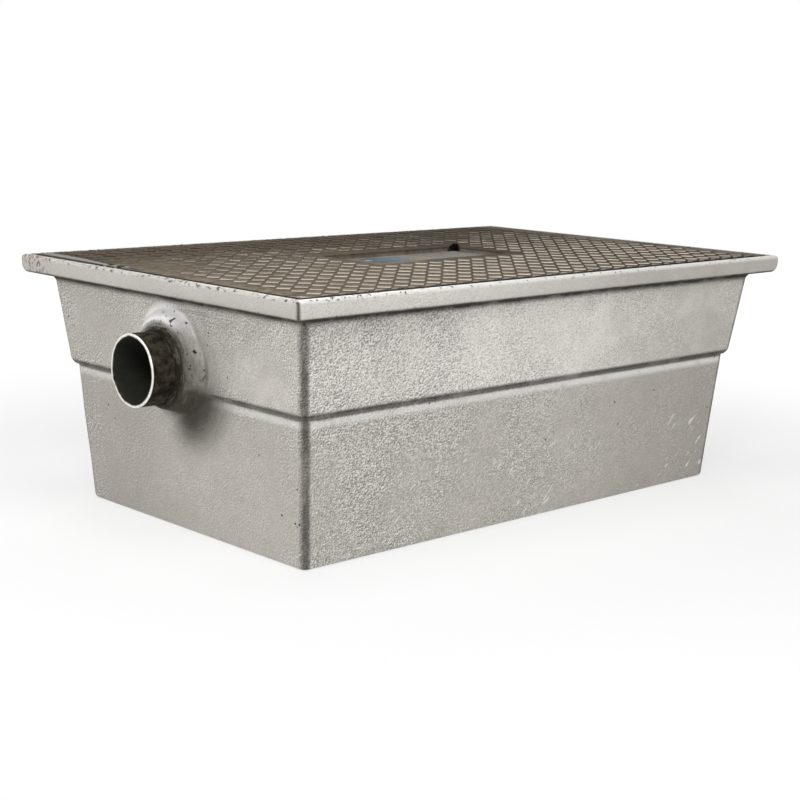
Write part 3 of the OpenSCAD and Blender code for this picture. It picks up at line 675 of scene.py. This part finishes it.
class Finish:
    """A material in the making: places on the piece in millimetres and the noises that make its finish."""

    def __init__(self, name):
        self.material = bpy.data.materials.new(name)
        self.material.use_nodes = True
        self.tree = self.material.node_tree
        self.tree.nodes.clear()
        self.start = Field(self.tree)
        self.place = self.start.node("TexCoord", {}, {}, "Object")
        x, y, z = (self.start.node("SeparateXYZ", {}, {0: self.place}, k) for k in range(3))
        self.x, self.y, self.z = x / MM, y / MM, z / MM

    def noise(self, size, detail=2, roughness=0.5, distortion=0, stretch=(1, 1, 1), shift=0, move=(0, 0, 0)):
        """Noise whose features measure about the size in millimetres; shift picks another part of it, move
        takes its value from a place that far away, in millimetres."""
        at = self.start.node("Mapping", {}, {"Vector": self.place, "Scale": stretch,
                                             "Location": [shift + m * MM for m in move]})
        return self.start.node("TexNoise", {}, {"Vector": at, "Scale": 1 / (size * MM), "Detail": detail,
                                                "Roughness": roughness, "Distortion": distortion})

    def strokes(self, size, slant, length, shift):
        """Noise drawn out to strokes that slant in the plane of the long walls."""
        at = self.start.node("Mapping", {"vector_type": "TEXTURE"}, {
            "Vector": self.place, "Rotation": (0, slant, 0), "Scale": (length, 1, 1),
            "Location": (shift, shift, shift)})
        return self.start.node("TexNoise", {}, {"Vector": at, "Scale": 1 / (size * MM), "Detail": 1})

    def cells(self, size, output="Distance"):
        """Cell pattern whose cells measure about the size in millimetres."""
        return self.start.node("TexVoronoi", {}, {"Vector": self.place, "Scale": 1 / (size * MM)}, output)

    def attribute(self, name):
        """A value that the mesh carries at its points."""
        return self.start.node("Attribute", {"attribute_name": name}, {}, "Fac")

    def near(self, place, size):
        """1 at a place on the piece, falling to 0 at a distance."""
        dx, dy, dz = self.x - place[0], self.y - place[1], self.z - place[2]
        return ((dx * dx + dy * dy + dz * dz) ** 0.5).ramp(size, 0)

    def done(self, colour, roughness, metallic, height, depth, **constants):
        """Puts the finish together: one shader, its bump as deep as given in millimetres."""
        normal = self.start.node("Bump", {}, {"Strength": 1, "Distance": depth * MM, "Height": height})
        shader = self.start.node("BsdfPrincipled", {}, {"Base Color": colour, "Roughness": roughness,
                                                        "Metallic": metallic, "Normal": normal, **constants})
        self.start.output("Material", shader)
        return self.material


def aluminium_paint():
    """Silver paint over sand-cast iron: sandy grains with painted light and shade on their sides, painted
    shade with some grime in the crease under the step, under the rim and down the upright corners, burnt and
    pitted round the bosses with a painted highlight above and painted shade and a painted cast shadow below,
    painted highlights on the rim's top edge, below the step and on raised lines, chipped along the rim."""
    f = Finish("aluminium_paint")
    x, y, z = f.x, f.y, f.z
    up_step, up_rim, up_lip = z - STEP_Z, z - RIM_Z, z - TRAP_H
    sand, coarse, grit = f.noise(1.5, 2, 0.55), f.noise(5), f.noise(1, 2, 0.6)
    lump, broad, drift = f.noise(13, 3, 0.55, 0.4), f.noise(70, 3, 0.55), f.noise(26, 4, 0.6, 0.6)
    # Noises shifted towards the lower right, less the noise in place: painted light and shade on grains and
    # lumps
    grain_side = f.noise(1.5, 2, 0.55, move=(0.36, -0.36, -0.56)) - sand
    lump_side = f.noise(5, move=(0.9, -0.9, -1.4)) - coarse
    rough_patch = f.noise(60, shift=0.7).ramp(0.38, 0.64)
    corner = f.attribute("corner")
    end_wall = corner.ramp(0.5, -0.5)
    long_wall = 1 - end_wall
    on_rim = up_rim.ramp(-1, 1)
    on_wall = 1 - on_rim
    low_wall = up_step.ramp(3, -5)

    # Round the bosses: a painted highlight above; burnt and pitted, with painted shade and a painted cast
    # shadow, to the side and below
    dz = z - PIPE_Z
    rho = (y * y + dz * dz) ** 0.5
    dome = (y * y + (dz - BOSS_UP) * (dz - BOSS_UP)) ** 0.5
    on_end = abs(x).ramp(244, 252) * abs(y).ramp(112, 92)
    below = (y * -0.6 + dz * -0.8) / rho
    # A painted highlight: the top of each dome painted near white and less metallic
    boss_highlight = dome.ramp(50, 44) * rho.ramp(36, 40) * (dz / rho).ramp(0.55, 0.9) * on_end
    # A thin painted highlight along the dome's shoulder
    boss_shoulder_highlight = dome.bell(42, 2.4) * below.ramp(-0.7, -0.1) * below.ramp(0.75, 0.45) * on_end
    polar = f.start.node("CombineXYZ", {}, {0: y.math("ARCTAN2", y, dz) * 3.2, 1: rho / 1.3, 2: x / 4})
    turned = f.start.node("TexNoise", {}, {"Vector": polar, "Scale": 1, "Detail": 2})
    uneven = (drift - 0.5) * 7 + (sand - 0.5) * 9 + (turned - 0.5) * 8
    burnt = (rho + uneven).ramp(41, 30) * on_end
    collar = (rho + uneven * 0.4).ramp(35.5, 31) * on_end
    # Soot and painted shade on the side of the boss that faces down and away from the light
    soot_and_shade = (rho + uneven).ramp(57.5, 31.5) * below.ramp(-0.72, -0.2) * on_end
    # Painted shade under the dome
    shade_under_boss = (dome + uneven * 0.5).ramp(48, 42) * below.ramp(0.62, 0.9) * on_end
    # Painted shade in the hollow where the dome meets the wall, on its lower side
    hollow = dome.bell(46, 6.5) * below.ramp(0.05, 0.55) * on_end
    # A painted cast shadow of the boss and tube on the wall below and beside it, with some stain
    cast_shadow_and_stain = (rho + uneven).ramp(86, 46) * below.ramp(0.5, 0.95) * on_end
    boss_pits = f.noise(4.6, 1, shift=0.33).ramp(0.655, 0.69) * dome.ramp(47, 43) * rho.ramp(34, 37)
    boss_pits = boss_pits * below.ramp(-0.95, -0.5) * below.ramp(0.85, 0.5) * on_end
    smooth = rho.ramp(52, 46) * on_end
    off_boss = 1 - rho.ramp(50, 45) * on_end

    # Painted shade with some grime in the creases: under the step, under the rim, down the corners
    along = f.noise(30, 3, 0.6, shift=0.15)
    # Painted shade in the crease under the step, darkest at its top
    shade_under_step = up_step.ramp(-2.6, -0.2) * up_step.ramp(6.5, 2.8) * off_boss
    shade_under_step = shade_under_step * (0.7 + along.ramp(0.3, 0.6) * 0.24) * (0.8 + up_step.ramp(0, 4) * 0.2)
    # A painted highlight on the lower wall just below the step
    step_highlight = up_step.ramp(-10, -5) * up_step.ramp(-1, -3.5)
    step_highlight = step_highlight * lump.ramp(0.05, 0.45) * off_boss
    # Painted shade with some grime on the wall just under the rim
    shade_and_grime_under_rim = up_rim.ramp(-10, -3) * up_rim.ramp(3.2, 0.6)
    shade_and_grime_under_rim = (shade_and_grime_under_rim * (0.7 + f.noise(18, 3, 0.6, shift=0.2) * 0.6)) ** 1.5 * (1 - boss_highlight)
    corner_band = corner + (sand - 0.5) * 5 + (lump - 0.5) * 3
    # A dark band down the upright corners: painted dark reflection and shade, with some grime
    corner_shade_and_grime = corner_band.ramp(-6, 0.5) * corner_band.ramp(7, 2.5) * on_wall
    corner_shade_and_grime = corner_shade_and_grime * (0.62 + along.ramp(0.35, 0.65) * 0.2)
    rim_crack = (corner + (lump - 0.5) * 4).bell(-0.6, 6) ** 0.6 * on_rim * up_lip.ramp(0, -2)
    # Painted shade where the step and the rim meet the upright corners
    corner_crease_shade = corner.bell(1.5, 6.5) * up_step.bell(3, 9).most(up_rim.bell(-5, 7))

    # Pits, chips, rust, and raised lines whose colour is a painted highlight
    pits = f.cells(9).ramp(0.13, 0.06) * f.noise(34, 1, shift=0.9).ramp(0.58, 0.66) * on_wall
    chip_noise = f.noise(3.4, 3, 0.7, shift=0.4) + x.ramp(-60, -290) * 0.04
    edge_chips = up_lip.bell(-0.8, 3.4) * chip_noise.ramp(0.58, 0.68)
    foot_chips = up_rim.bell(1.2, 2.4) * f.noise(4.2, 3, 0.7, shift=0.6).ramp(0.6, 0.7)
    rust_place = f.near((-RIM_HALF_L, 168, TRAP_H - 7), 32)
    rust = (rust_place * f.noise(4, 3, 0.65, shift=0.1).ramp(0.5, 0.6)).most(
        on_rim * f.noise(5, 3, 0.7, shift=0.8).ramp(0.7, 0.76))
    # A raised line under the rim of the end wall, its colour a painted highlight
    ridge_with_highlight = up_rim.bell(-12, 1.3) * end_wall * y.ramp(2, -10) * y.ramp(-78, -64) * x.ramp(0, -10)
    # Raised strokes low on the long walls, their colour a painted highlight
    scars_with_highlight = f.strokes(4.2, -0.75, 3.2, 0.1).ramp(0.66, 0.72) * f.noise(45, 1, shift=0.3).ramp(0.46, 0.58)
    scars_with_highlight = scars_with_highlight * z.ramp(95, 40) * on_wall * long_wall

    # How strongly the sand shows: less in the middle of the end walls and along the front
    calm = end_wall * corner.ramp(-18, -50) * up_rim.ramp(-14, -40) * (1 - up_step.bell(0, 22))
    sandy = (0.6 + rough_patch * 0.65) * (1 - calm * 0.5) * (1 - on_rim * 0.75) * (1 - smooth * 0.6)
    sandy = sandy * (1.2 - x.ramp(-280, 200) * y.ramp(60, -120) * long_wall * 0.92) * (1 - end_wall * 0.55)
    # Painted light and shade on the grains: lighter on their upper left side, darker on their lower right
    # side
    side = (grain_side * 5.8 + lump_side * 0.45) * sandy * (1 - low_wall * 0.25)

    tone = (broad * 0.45 + lump * 0.35 + sand * 0.2).ramp(0.34, 0.66)
    sweep = f.noise(42, 2, 0.5, 0.5, shift=0.55).ramp(0.62, 0.36)
    # Painted highlights: below the step, on raised lines, on the boss and along the rim's top edge
    bright = (step_highlight * 0.6 * (1 - end_wall * 0.3)).most(
        ridge_with_highlight * 0.8, boss_highlight * 0.95, boss_shoulder_highlight * 0.15,
        up_lip.ramp(-4, -1) * (0.65 - end_wall * 0.6), scars_with_highlight * 0.7)
    # Painted shade and cast shadow in creases, under the rim, down the corners and round the bosses, with
    # grime, soot and cracks
    grime_and_shade = shade_under_step.most(
        shade_and_grime_under_rim, corner_shade_and_grime, rim_crack * 0.9, corner_crease_shade * 0.95, burnt * 0.97, soot_and_shade * 0.93,
        shade_under_boss * 0.93, hollow * 0.74, cast_shadow_and_stain * 0.91).least(0.97)
    # Soot round the tube together with the painted shade beside and below the boss
    scorch_and_shade = burnt.most(soot_and_shade)
    black = pits.most(boss_pits, edge_chips, foot_chips)
    colour = layered(
        tone.tint((0.55, 0.523, 0.48), (0.74, 0.709, 0.662)),
        (on_rim * 0.6, (0.64, 0.615, 0.575)),
        # The lower wall painted darker: painted shade
        (low_wall * 0.55, (0.38, 0.357, 0.314)),
        ((1 - low_wall * 0.6) * on_wall * sweep * 0.34, (0.4, 0.38, 0.345)),
        # End walls, and more so their rim, painted darker: painted shade
        (end_wall * (0.22 + on_rim * 0.18), (0.33, 0.312, 0.28)),
        # A painted pool of light on the upper long walls, about the middle
        ((1 - low_wall) * on_wall * long_wall * x.bell(-60, 260) * 0.55, (0.92, 0.89, 0.84)),
        # Long walls painted darker towards the outlet end: painted shade where the light falls off
        (long_wall * on_wall * x.ramp(0, 260) * (0.35 + low_wall * 0.2), (0.3, 0.278, 0.24)),
        # The inlet end wall painted darker towards the back: painted shade
        (end_wall * on_wall * x.ramp(0, -10) * y.ramp(-40, 110) * 0.5, (0.33, 0.308, 0.275)),
        # The rim of the long walls painted darker towards the outlet end: painted shade
        (on_rim * long_wall * x.ramp(-130, 150) * (0.35 + drift * 0.45), (0.34, 0.31, 0.27)),
        # Painted light and shade on the sides of the grains
        (side.most(0).least(0.75), (0.95, 0.93, 0.9)),
        ((side * -1).most(0).least(0.75), (0.2, 0.185, 0.16)),
        # Painted highlights
        (bright, boss_highlight.tint((0.88, 0.865, 0.84), (1, 0.985, 0.97))),
        # Painted shade and cast shadow, with grime and soot
        (grime_and_shade, scorch_and_shade.tint((0.035, 0.03, 0.024), (0.034, 0.026, 0.018))),
        (collar * 0.9, (0.016, 0.012, 0.008)),
        (scorch_and_shade * turned.ramp(0.54, 0.74) * 0.22, (0.3, 0.27, 0.225)),
        (rust * 0.85, (0.17, 0.085, 0.045)),
        (black * 0.92, (0.022, 0.019, 0.015)))
    roughness = 0.36 + sand * 0.1 + grime_and_shade * 0.25 + black * 0.2 - boss_highlight * 0.06
    metallic = (0.6 - boss_highlight * 0.58 - grime_and_shade * 0.7 - rust * 0.5 - black * 0.5).most(0)
    grains = (sand * 0.9 + coarse * 0.32 + grit * 0.2 + lump * 0.3) * (sandy * 0.9 + 0.05)
    height = grains + scars_with_highlight * 0.5 + ridge_with_highlight * 0.5 - black * 0.6
    return f.done(colour, roughness, metallic, height, 2, **{"Specular IOR Level": 0.06})


def worn_cover_iron():
    """Worn chequered iron: brown grime between the pads, darker towards the back, the near edges of the pads
    rubbed and painted bright as a highlight, a grey strip and along the inlet end a line of painted shade in
    the gap with some grime, a sunk panel with a faded patch of blue."""
    f = Finish("worn_cover_iron")
    x, y, up = f.x, f.y, f.z - COVER_TOP
    fine, grain, broad = f.noise(1.6, 3, 0.65), f.noise(6, 3, 0.6), f.noise(60, 3, 0.55)
    blotch = f.noise(24, 3, 0.6, shift=0.4)
    pad, wear, near = f.attribute("on_pad"), f.attribute("pad_wear"), f.attribute("pad_near")
    side_x, side_y = abs(x), abs(y)
    front = (x * 0.02 + y * -0.95 + (broad - 0.5) * 150).ramp(-215, 165)
    outlet = x.ramp(-170, 190)
    groove = (grain * (1 - outlet * 0.78)).tint((0.014, 0.01, 0.0062), (0.21, 0.166, 0.115))
    body = (wear * 0.35 + grain * 0.45 + (blotch - 0.5) * 0.6 + (front - 0.5) * 0.45).ramp(0.05, 0.95)
    # The near edges of the pads: rubbed, and painted bright as a highlight
    rubbed_edge_highlight = (wear * 0.4 + fine * 0.5 + (blotch - 0.5) + (front - 0.5) * 0.8).ramp(0.1, 0.8)
    rubbed_edge_highlight = near.ramp(0.72, 0.92) * rubbed_edge_highlight * (0.54 + front * x.ramp(-240, 0) * 0.26)
    pads = layered(body.tint((0.06, 0.046, 0.03), (0.205, 0.17, 0.125)), (rubbed_edge_highlight, (0.76, 0.69, 0.59)))
    plain_x = COVER_HALF_L - PLAIN_END
    plain_end = (side_x + (blotch - 0.5) * 26).ramp(plain_x - 7, plain_x + 9) * (1 - pad)
    plain_tone = (grain * 0.6 + blotch * 0.4).ramp(0.35, 0.65)
    near_edge = side_y.ramp(COVER_HALF_W - 16, COVER_HALF_W - 3) * y.ramp(0, -10) * pad * wear
    rubbed = f.near((-252, 45, COVER_TOP), 62) * grain.ramp(0.3, 0.6)

    # Along the edges: painted shade in the gap round the cover, with some grime, and towards the back of the
    # inlet end a strip of old paint
    from_end = x + COVER_HALF_L
    gap_shade_w = 0.8 + y.ramp(-60, 180) * 4.5 + (grain - 0.5) * 2
    strip_w = gap_shade_w + y.ramp(15, 150) * 11 + (grain - 0.5) * 3
    strip = (from_end - strip_w).ramp(1.5, -1.5) * y.ramp(5, 40)
    strip_line = (from_end - strip_w).bell(2, 6) * y.ramp(5, 40)
    # Painted shade in the gap round the cover, wider towards the back of the inlet end, with some grime
    edge_gap_shade_and_grime = (from_end - gap_shade_w).ramp(0.8, -0.8).most(
        (side_x - COVER_HALF_L).most(side_y - COVER_HALF_W).ramp(-2.6, -0.8))
    notch_x = NOTCH_D - COVER_HALF_L
    notches = [f.near((notch_x, notch_y - NOTCH_W / 2, COVER_TOP), 5) for notch_y in NOTCH_YS]
    # White marks at two corners and beside the notches: chips, with painted glints
    chips_and_glints = f.near((-284, -177, COVER_TOP), 6).most(f.near((270, 172, COVER_TOP), 6), *notches)

    # The sunk panel, with its patches of blue and tan
    in_panel = (side_x.ramp(PANEL_HALF_L + 1, PANEL_HALF_L - 1)
                * side_y.ramp(PANEL_HALF_W + 1, PANEL_HALF_W - 1))
    sunk = in_panel * up.ramp(-0.6, -1.6)
    # The panel's walls painted darker: painted shade
    panel_wall_shade = sunk * up.ramp(-2.8, -1.8)
    panel_floor = sunk * up.ramp(1.2 - PANEL_D, 0.5 - PANEL_D)
    bare = (blotch * 0.7 + grain * 0.6 + x.ramp(-70, 30) * 0.12).ramp(0.4, 0.95)
    sheen = panel_floor * x.ramp(5, 35) * y.ramp(-18, 4) * blotch.ramp(0.3, 0.6)
    patch_x = x + 28
    patch = panel_floor * abs(patch_x).ramp(27, 20) * abs(y - 10).ramp(20, 14)
    patch = patch * (0.35 + f.noise(9, 4, 0.7, shift=0.2).ramp(0.25, 0.6) * 0.65)
    faded = ((blotch - 0.5) * 0.8 + fine * 0.4 + patch_x.ramp(-25, 20) * 0.55).ramp(0.15, 0.75)
    glint = f.near((-45, 16, COVER_TOP - PANEL_D), 6) * fine.ramp(0.38, 0.58)
    tan = abs(x + 58).ramp(34, 24) * abs(y + 42).ramp(8, 1) * fine.ramp(0.25, 0.75)

    # The key pocket is painted black inside where it lies deep: painted shade
    key_x, key_y = x - KEY_X, y - KEY_Y
    c, s = math.cos(KEY_TURN), math.sin(KEY_TURN)
    across = abs(key_y * c - key_x * s)
    in_key = (key_x * c + key_y * s).ramp(11.5, 13) * across.ramp(KEY_W / 2 + 0.6, KEY_W / 2 - 0.4)
    in_key = in_key * up.ramp(-0.2, -0.9)

    colour = layered(
        (pad * up.ramp(0.1, 0.6)).tint(groove, pads),
        (plain_end * 0.75, plain_tone.tint((0.07, 0.054, 0.036), (0.27, 0.232, 0.18))),
        (front.ramp(0.5, 0) * 0.48, (0.046, 0.034, 0.022)),
        (near_edge * 0.75, (0.66, 0.635, 0.59)),
        (rubbed * 0.6, (0.125, 0.094, 0.064)),
        (strip_line * 0.95, (0.03, 0.023, 0.015)),
        (strip * 0.92, broad.tint((0.24, 0.23, 0.214), (0.34, 0.328, 0.308))),
        # Painted shade of the gap, with some grime
        (edge_gap_shade_and_grime * 0.9, (0.02, 0.016, 0.011)),
        # Chips and painted glints
        (chips_and_glints * grain.ramp(0.36, 0.56) * 0.85, (0.76, 0.74, 0.7)),
        (sunk, bare.tint((0.108, 0.088, 0.064), (0.3, 0.265, 0.22))),
        # Painted shade on the panel's walls
        (panel_wall_shade * 0.3, (0.026, 0.02, 0.013)),
        (sheen * 0.45, (0.15, 0.18, 0.2)),
        (patch * 0.92, faded.tint((0.008, 0.052, 0.105), (0.07, 0.15, 0.21))),
        (glint * 0.8, (0.62, 0.66, 0.68)),
        (tan * 0.7, (0.42, 0.3, 0.18)),
        # Painted shade: the deep key pocket painted black
        (in_key, (0.006, 0.005, 0.004)))
    roughness = 0.66 - wear * 0.18 + (fine - 0.5) * 0.16 - patch * 0.2
    metallic = (wear * 0.35 * front - patch - in_key).most(0)
    return f.done(colour, roughness, metallic, fine * 0.5 + grain * 0.5, 0.4, **{"Specular IOR Level": 0.03})


def scaled_steel():
    """Dark mill-scaled tube: brown-black outside with rubbed specks, a bright cut end, a damp dark bore."""
    f = Finish("scaled_steel")
    x, y, z = f.x, f.y, f.z
    dz = z - PIPE_Z
    rho = (y * y + dz * dz) ** 0.5
    bore_r = PIPE_R - PIPE_T
    speck, grain = f.noise(2.2, 3, 0.7), f.noise(9, 3, 0.6, stretch=(0.4, 1, 1))
    mottle = (grain * 0.5 + f.noise(6, 3, 0.65, shift=0.3) * 0.5).ramp(0.36, 0.66)
    end = abs(x).ramp(PIPE_END - 1.4, PIPE_END - 0.7)
    bore = rho.ramp(bore_r + 0.6, bore_r + 0.2) * (1 - end)
    rub = speck.ramp(0.62, 0.76) * (dz / PIPE_R).ramp(-0.4, 0.9)
    cut = end * (rho + (grain - 0.5) * 2.4).ramp(bore_r + 0.3, PIPE_R - 1.2) * speck.ramp(0.15, 0.45)
    colour = layered(
        mottle.tint((0.008, 0.0062, 0.0042), (0.064, 0.054, 0.04)),
        (rub * 0.45, (0.24, 0.21, 0.17)),
        (bore, grain.tint((0.02, 0.021, 0.016), (0.045, 0.047, 0.036))),
        (cut, (0.84, 0.815, 0.76)))
    roughness = 0.52 + speck * 0.2 + bore * 0.12 - end * 0.12
    metallic = 0.1 + end * 0.6 - bore * 0.05
    return f.done(colour, roughness, metallic, speck * 0.6 + grain * 0.4, 0.4, **{"Specular IOR Level": 0.05})


def galvanised_plate():
    """Zinc-coated plate: flat crystals of several greys with a faint white bloom."""
    f = Finish("galvanised_plate")
    crystal = f.start.node("SeparateColor", {}, {0: f.cells(11, "Color")}, 0)
    bloom = f.noise(40, 4, 0.6).ramp(0.45, 0.75)
    colour = layered(crystal.tint((0.36, 0.37, 0.375), (0.55, 0.56, 0.56)), (bloom * 0.4, (0.62, 0.62, 0.6)))
    roughness = 0.34 + crystal * 0.16 + bloom * 0.2
    return f.done(colour, roughness, 0.85 - bloom * 0.3, crystal * 0.3 + f.noise(2) * 0.3, 0.15)


def brushed_sheet():
    """Stainless sheet brushed one way, with water marks."""
    f = Finish("brushed_sheet")
    brush, marks = f.noise(2, 3, 0.7, stretch=(0.05, 1, 1)), f.noise(24, 4, 0.6).ramp(0.5, 0.7)
    colour = layered(brush.tint((0.42, 0.415, 0.4), (0.6, 0.595, 0.58)), (marks * 0.35, (0.3, 0.27, 0.22)))
    return f.done(colour, 0.28 + brush * 0.16 + marks * 0.15, 0.95 - marks * 0.2, brush, 0.08)


def seal_rubber():
    """Black rubber with a greasy, slightly uneven face."""
    f = Finish("seal_rubber")
    grain, dust = f.noise(1.2), f.noise(14, 3, 0.6).ramp(0.45, 0.75)
    colour = (dust * 0.5).tint((0.018, 0.018, 0.018), (0.06, 0.055, 0.048))
    return f.done(colour, 0.55 + dust * 0.25 - grain * 0.08, 0, grain, 0.1)


# The pieces, their finishes and what they stand for

tube_steel = scaled_steel()
for piece, finish, node, slot in (
        (make_tank(), aluminium_paint(), "tank", "tank_paint"),
        (make_cover(), worn_cover_iron(), "cover", "cover_iron"),
        (make_tube("inlet_tube", -1), tube_steel, "inlet_spigot", "pipe_steel"),
        (make_tube("outlet_tube", 1), tube_steel, "outlet_spigot", "pipe_steel")):
    piece.data.materials.append(finish)
    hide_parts(node)
    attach(piece, "root")

zinc, sheet, rubber = galvanised_plate(), brushed_sheet(), seal_rubber()
for node, finish in (("inlet_baffle", zinc), ("outlet_baffle", zinc), ("strainer_basket", sheet),
                     ("basket_handle", sheet), ("cover_seal", rubber)):
    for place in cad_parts[node].material_slots:
        place.material = finish


# Floor, light and camera: sizes in metres

CAMERA_AT = (-1.0178, -1.0621, 0.3688)
CAMERA_RIGHT = (0.73041, -0.68268, 0.02107)
CAMERA_UP = (0.11533, 0.15368, 0.98136)
CAMERA_BACK = (-0.67319, -0.71437, 0.19098)
CAMERA_LENS, CAMERA_FILM = 71.64, 36.0
LOOK_AT = (0, 0, 0.12)
FLOOR_HALF, SHADOW_NEAR, SHADOW_FAR, SHADOW_SHARE = 6000.0, 380.0, 800.0, 0.32
STUDIO_LEVEL = 0.15
DARK_SIDE = 0.85
LAMPS = {"left_lamp": ((-1.75, -0.05, 0.80), 0.9, 9.6), "left_back_lamp": ((-1.1, 1.5, 1.1), 0.6, 2.0),
         "front_lamp": ((-0.3, -1.7, 1.3), 0.9, 11.0), "near_lamp": ((-0.9, -0.8, 1.0), 0.5, 7.0),
         "top_lamp": ((-0.3, -0.2, 1.9), 1.0, 8.0), "back_lamp": ((0.8, 1.3, 1.6), 1.0, 8.0)}


def seen_as_background(start):
    """1 for rays that show the white studio itself: from the camera, by reflection or through glass."""
    camera, *others = (start.node("LightPath", {}, {}, "Is %s Ray" % kind)
                       for kind in ("Camera", "Glossy", "Transmission"))
    return camera.most(*others)


def make_floor():
    """A plain floor, white to the camera, that keeps the trap's shadow near it and fades to pure white."""
    corners = FLOOR_HALF * np.array([[-1, -1, 0], [1, -1, 0], [1, 1, 0], [-1, 1, 0]])
    floor = new_piece("floor", corners, [np.array([[0, 1, 2, 3]])], 30)
    f = Finish("pale_floor")
    shadow_share = ((f.x * f.x + f.y * f.y) ** 0.5).ramp(SHADOW_FAR, SHADOW_NEAR) * SHADOW_SHARE
    matt = f.start.node("BsdfDiffuse", {}, {"Color": (0.92, 0.92, 0.92, 1)})
    white = f.start.node("Emission", {}, {"Color": (1, 1, 1, 1), "Strength": 1.0})
    seen = seen_as_background(f.start) * (1 - shadow_share)
    f.start.output("Material", f.start.node("MixShader", {}, {0: seen, 1: matt, 2: white}))
    floor.data.materials.append(f.material)


def make_camera():
    """The camera that was fitted to the photograph: a lens of 71.6 mm on a 36 mm square frame."""
    camera = added("camera", bpy.data.cameras.new("camera"))
    camera.data.sensor_width, camera.data.lens = CAMERA_FILM, CAMERA_LENS
    rows = zip(CAMERA_RIGHT, CAMERA_UP, CAMERA_BACK, CAMERA_AT)
    camera.matrix_world = Matrix([*rows, (0, 0, 0, 1)])
    bpy.context.scene.camera = camera


def soft_lamp(name, at, size, power):
    """A large round lamp that looks at the trap."""
    lamp = added(name, bpy.data.lights.new(name, "AREA"))
    lamp.data.shape, lamp.data.size, lamp.data.energy = "DISK", size, power
    lamp.location = at
    lamp.rotation_euler = (Vector(LOOK_AT) - Vector(at)).to_track_quat("-Z", "Y").to_euler()


def make_light():
    """A white studio that is darker behind the camera, with soft lamps round the trap."""
    world = bpy.data.worlds.new("studio")
    world.use_nodes = True
    world.node_tree.nodes.clear()
    start = Field(world.node_tree)
    way = start.node("TexCoord", {}, {}, "Generated")
    facing = start.node("VectorMath", {"operation": "DOT_PRODUCT"}, {0: way, 1: CAMERA_BACK}, "Value")
    lit = 1 - facing.ramp(0.60, 0.97) * DARK_SIDE * (1 - start.node("LightPath", {}, {}, "Is Camera Ray"))
    seen = seen_as_background(start)
    strength = lit * (seen + (1 - seen) * STUDIO_LEVEL)
    start.output("World", start.node("Background", {}, {"Color": (1, 1, 1, 1), "Strength": strength}))
    bpy.context.scene.world = world
    for name, (at, size, power) in LAMPS.items():
        soft_lamp(name, at, size, power)


make_floor()
make_camera()
make_light()
bpy.context.scene.view_settings.view_transform = "Standard"
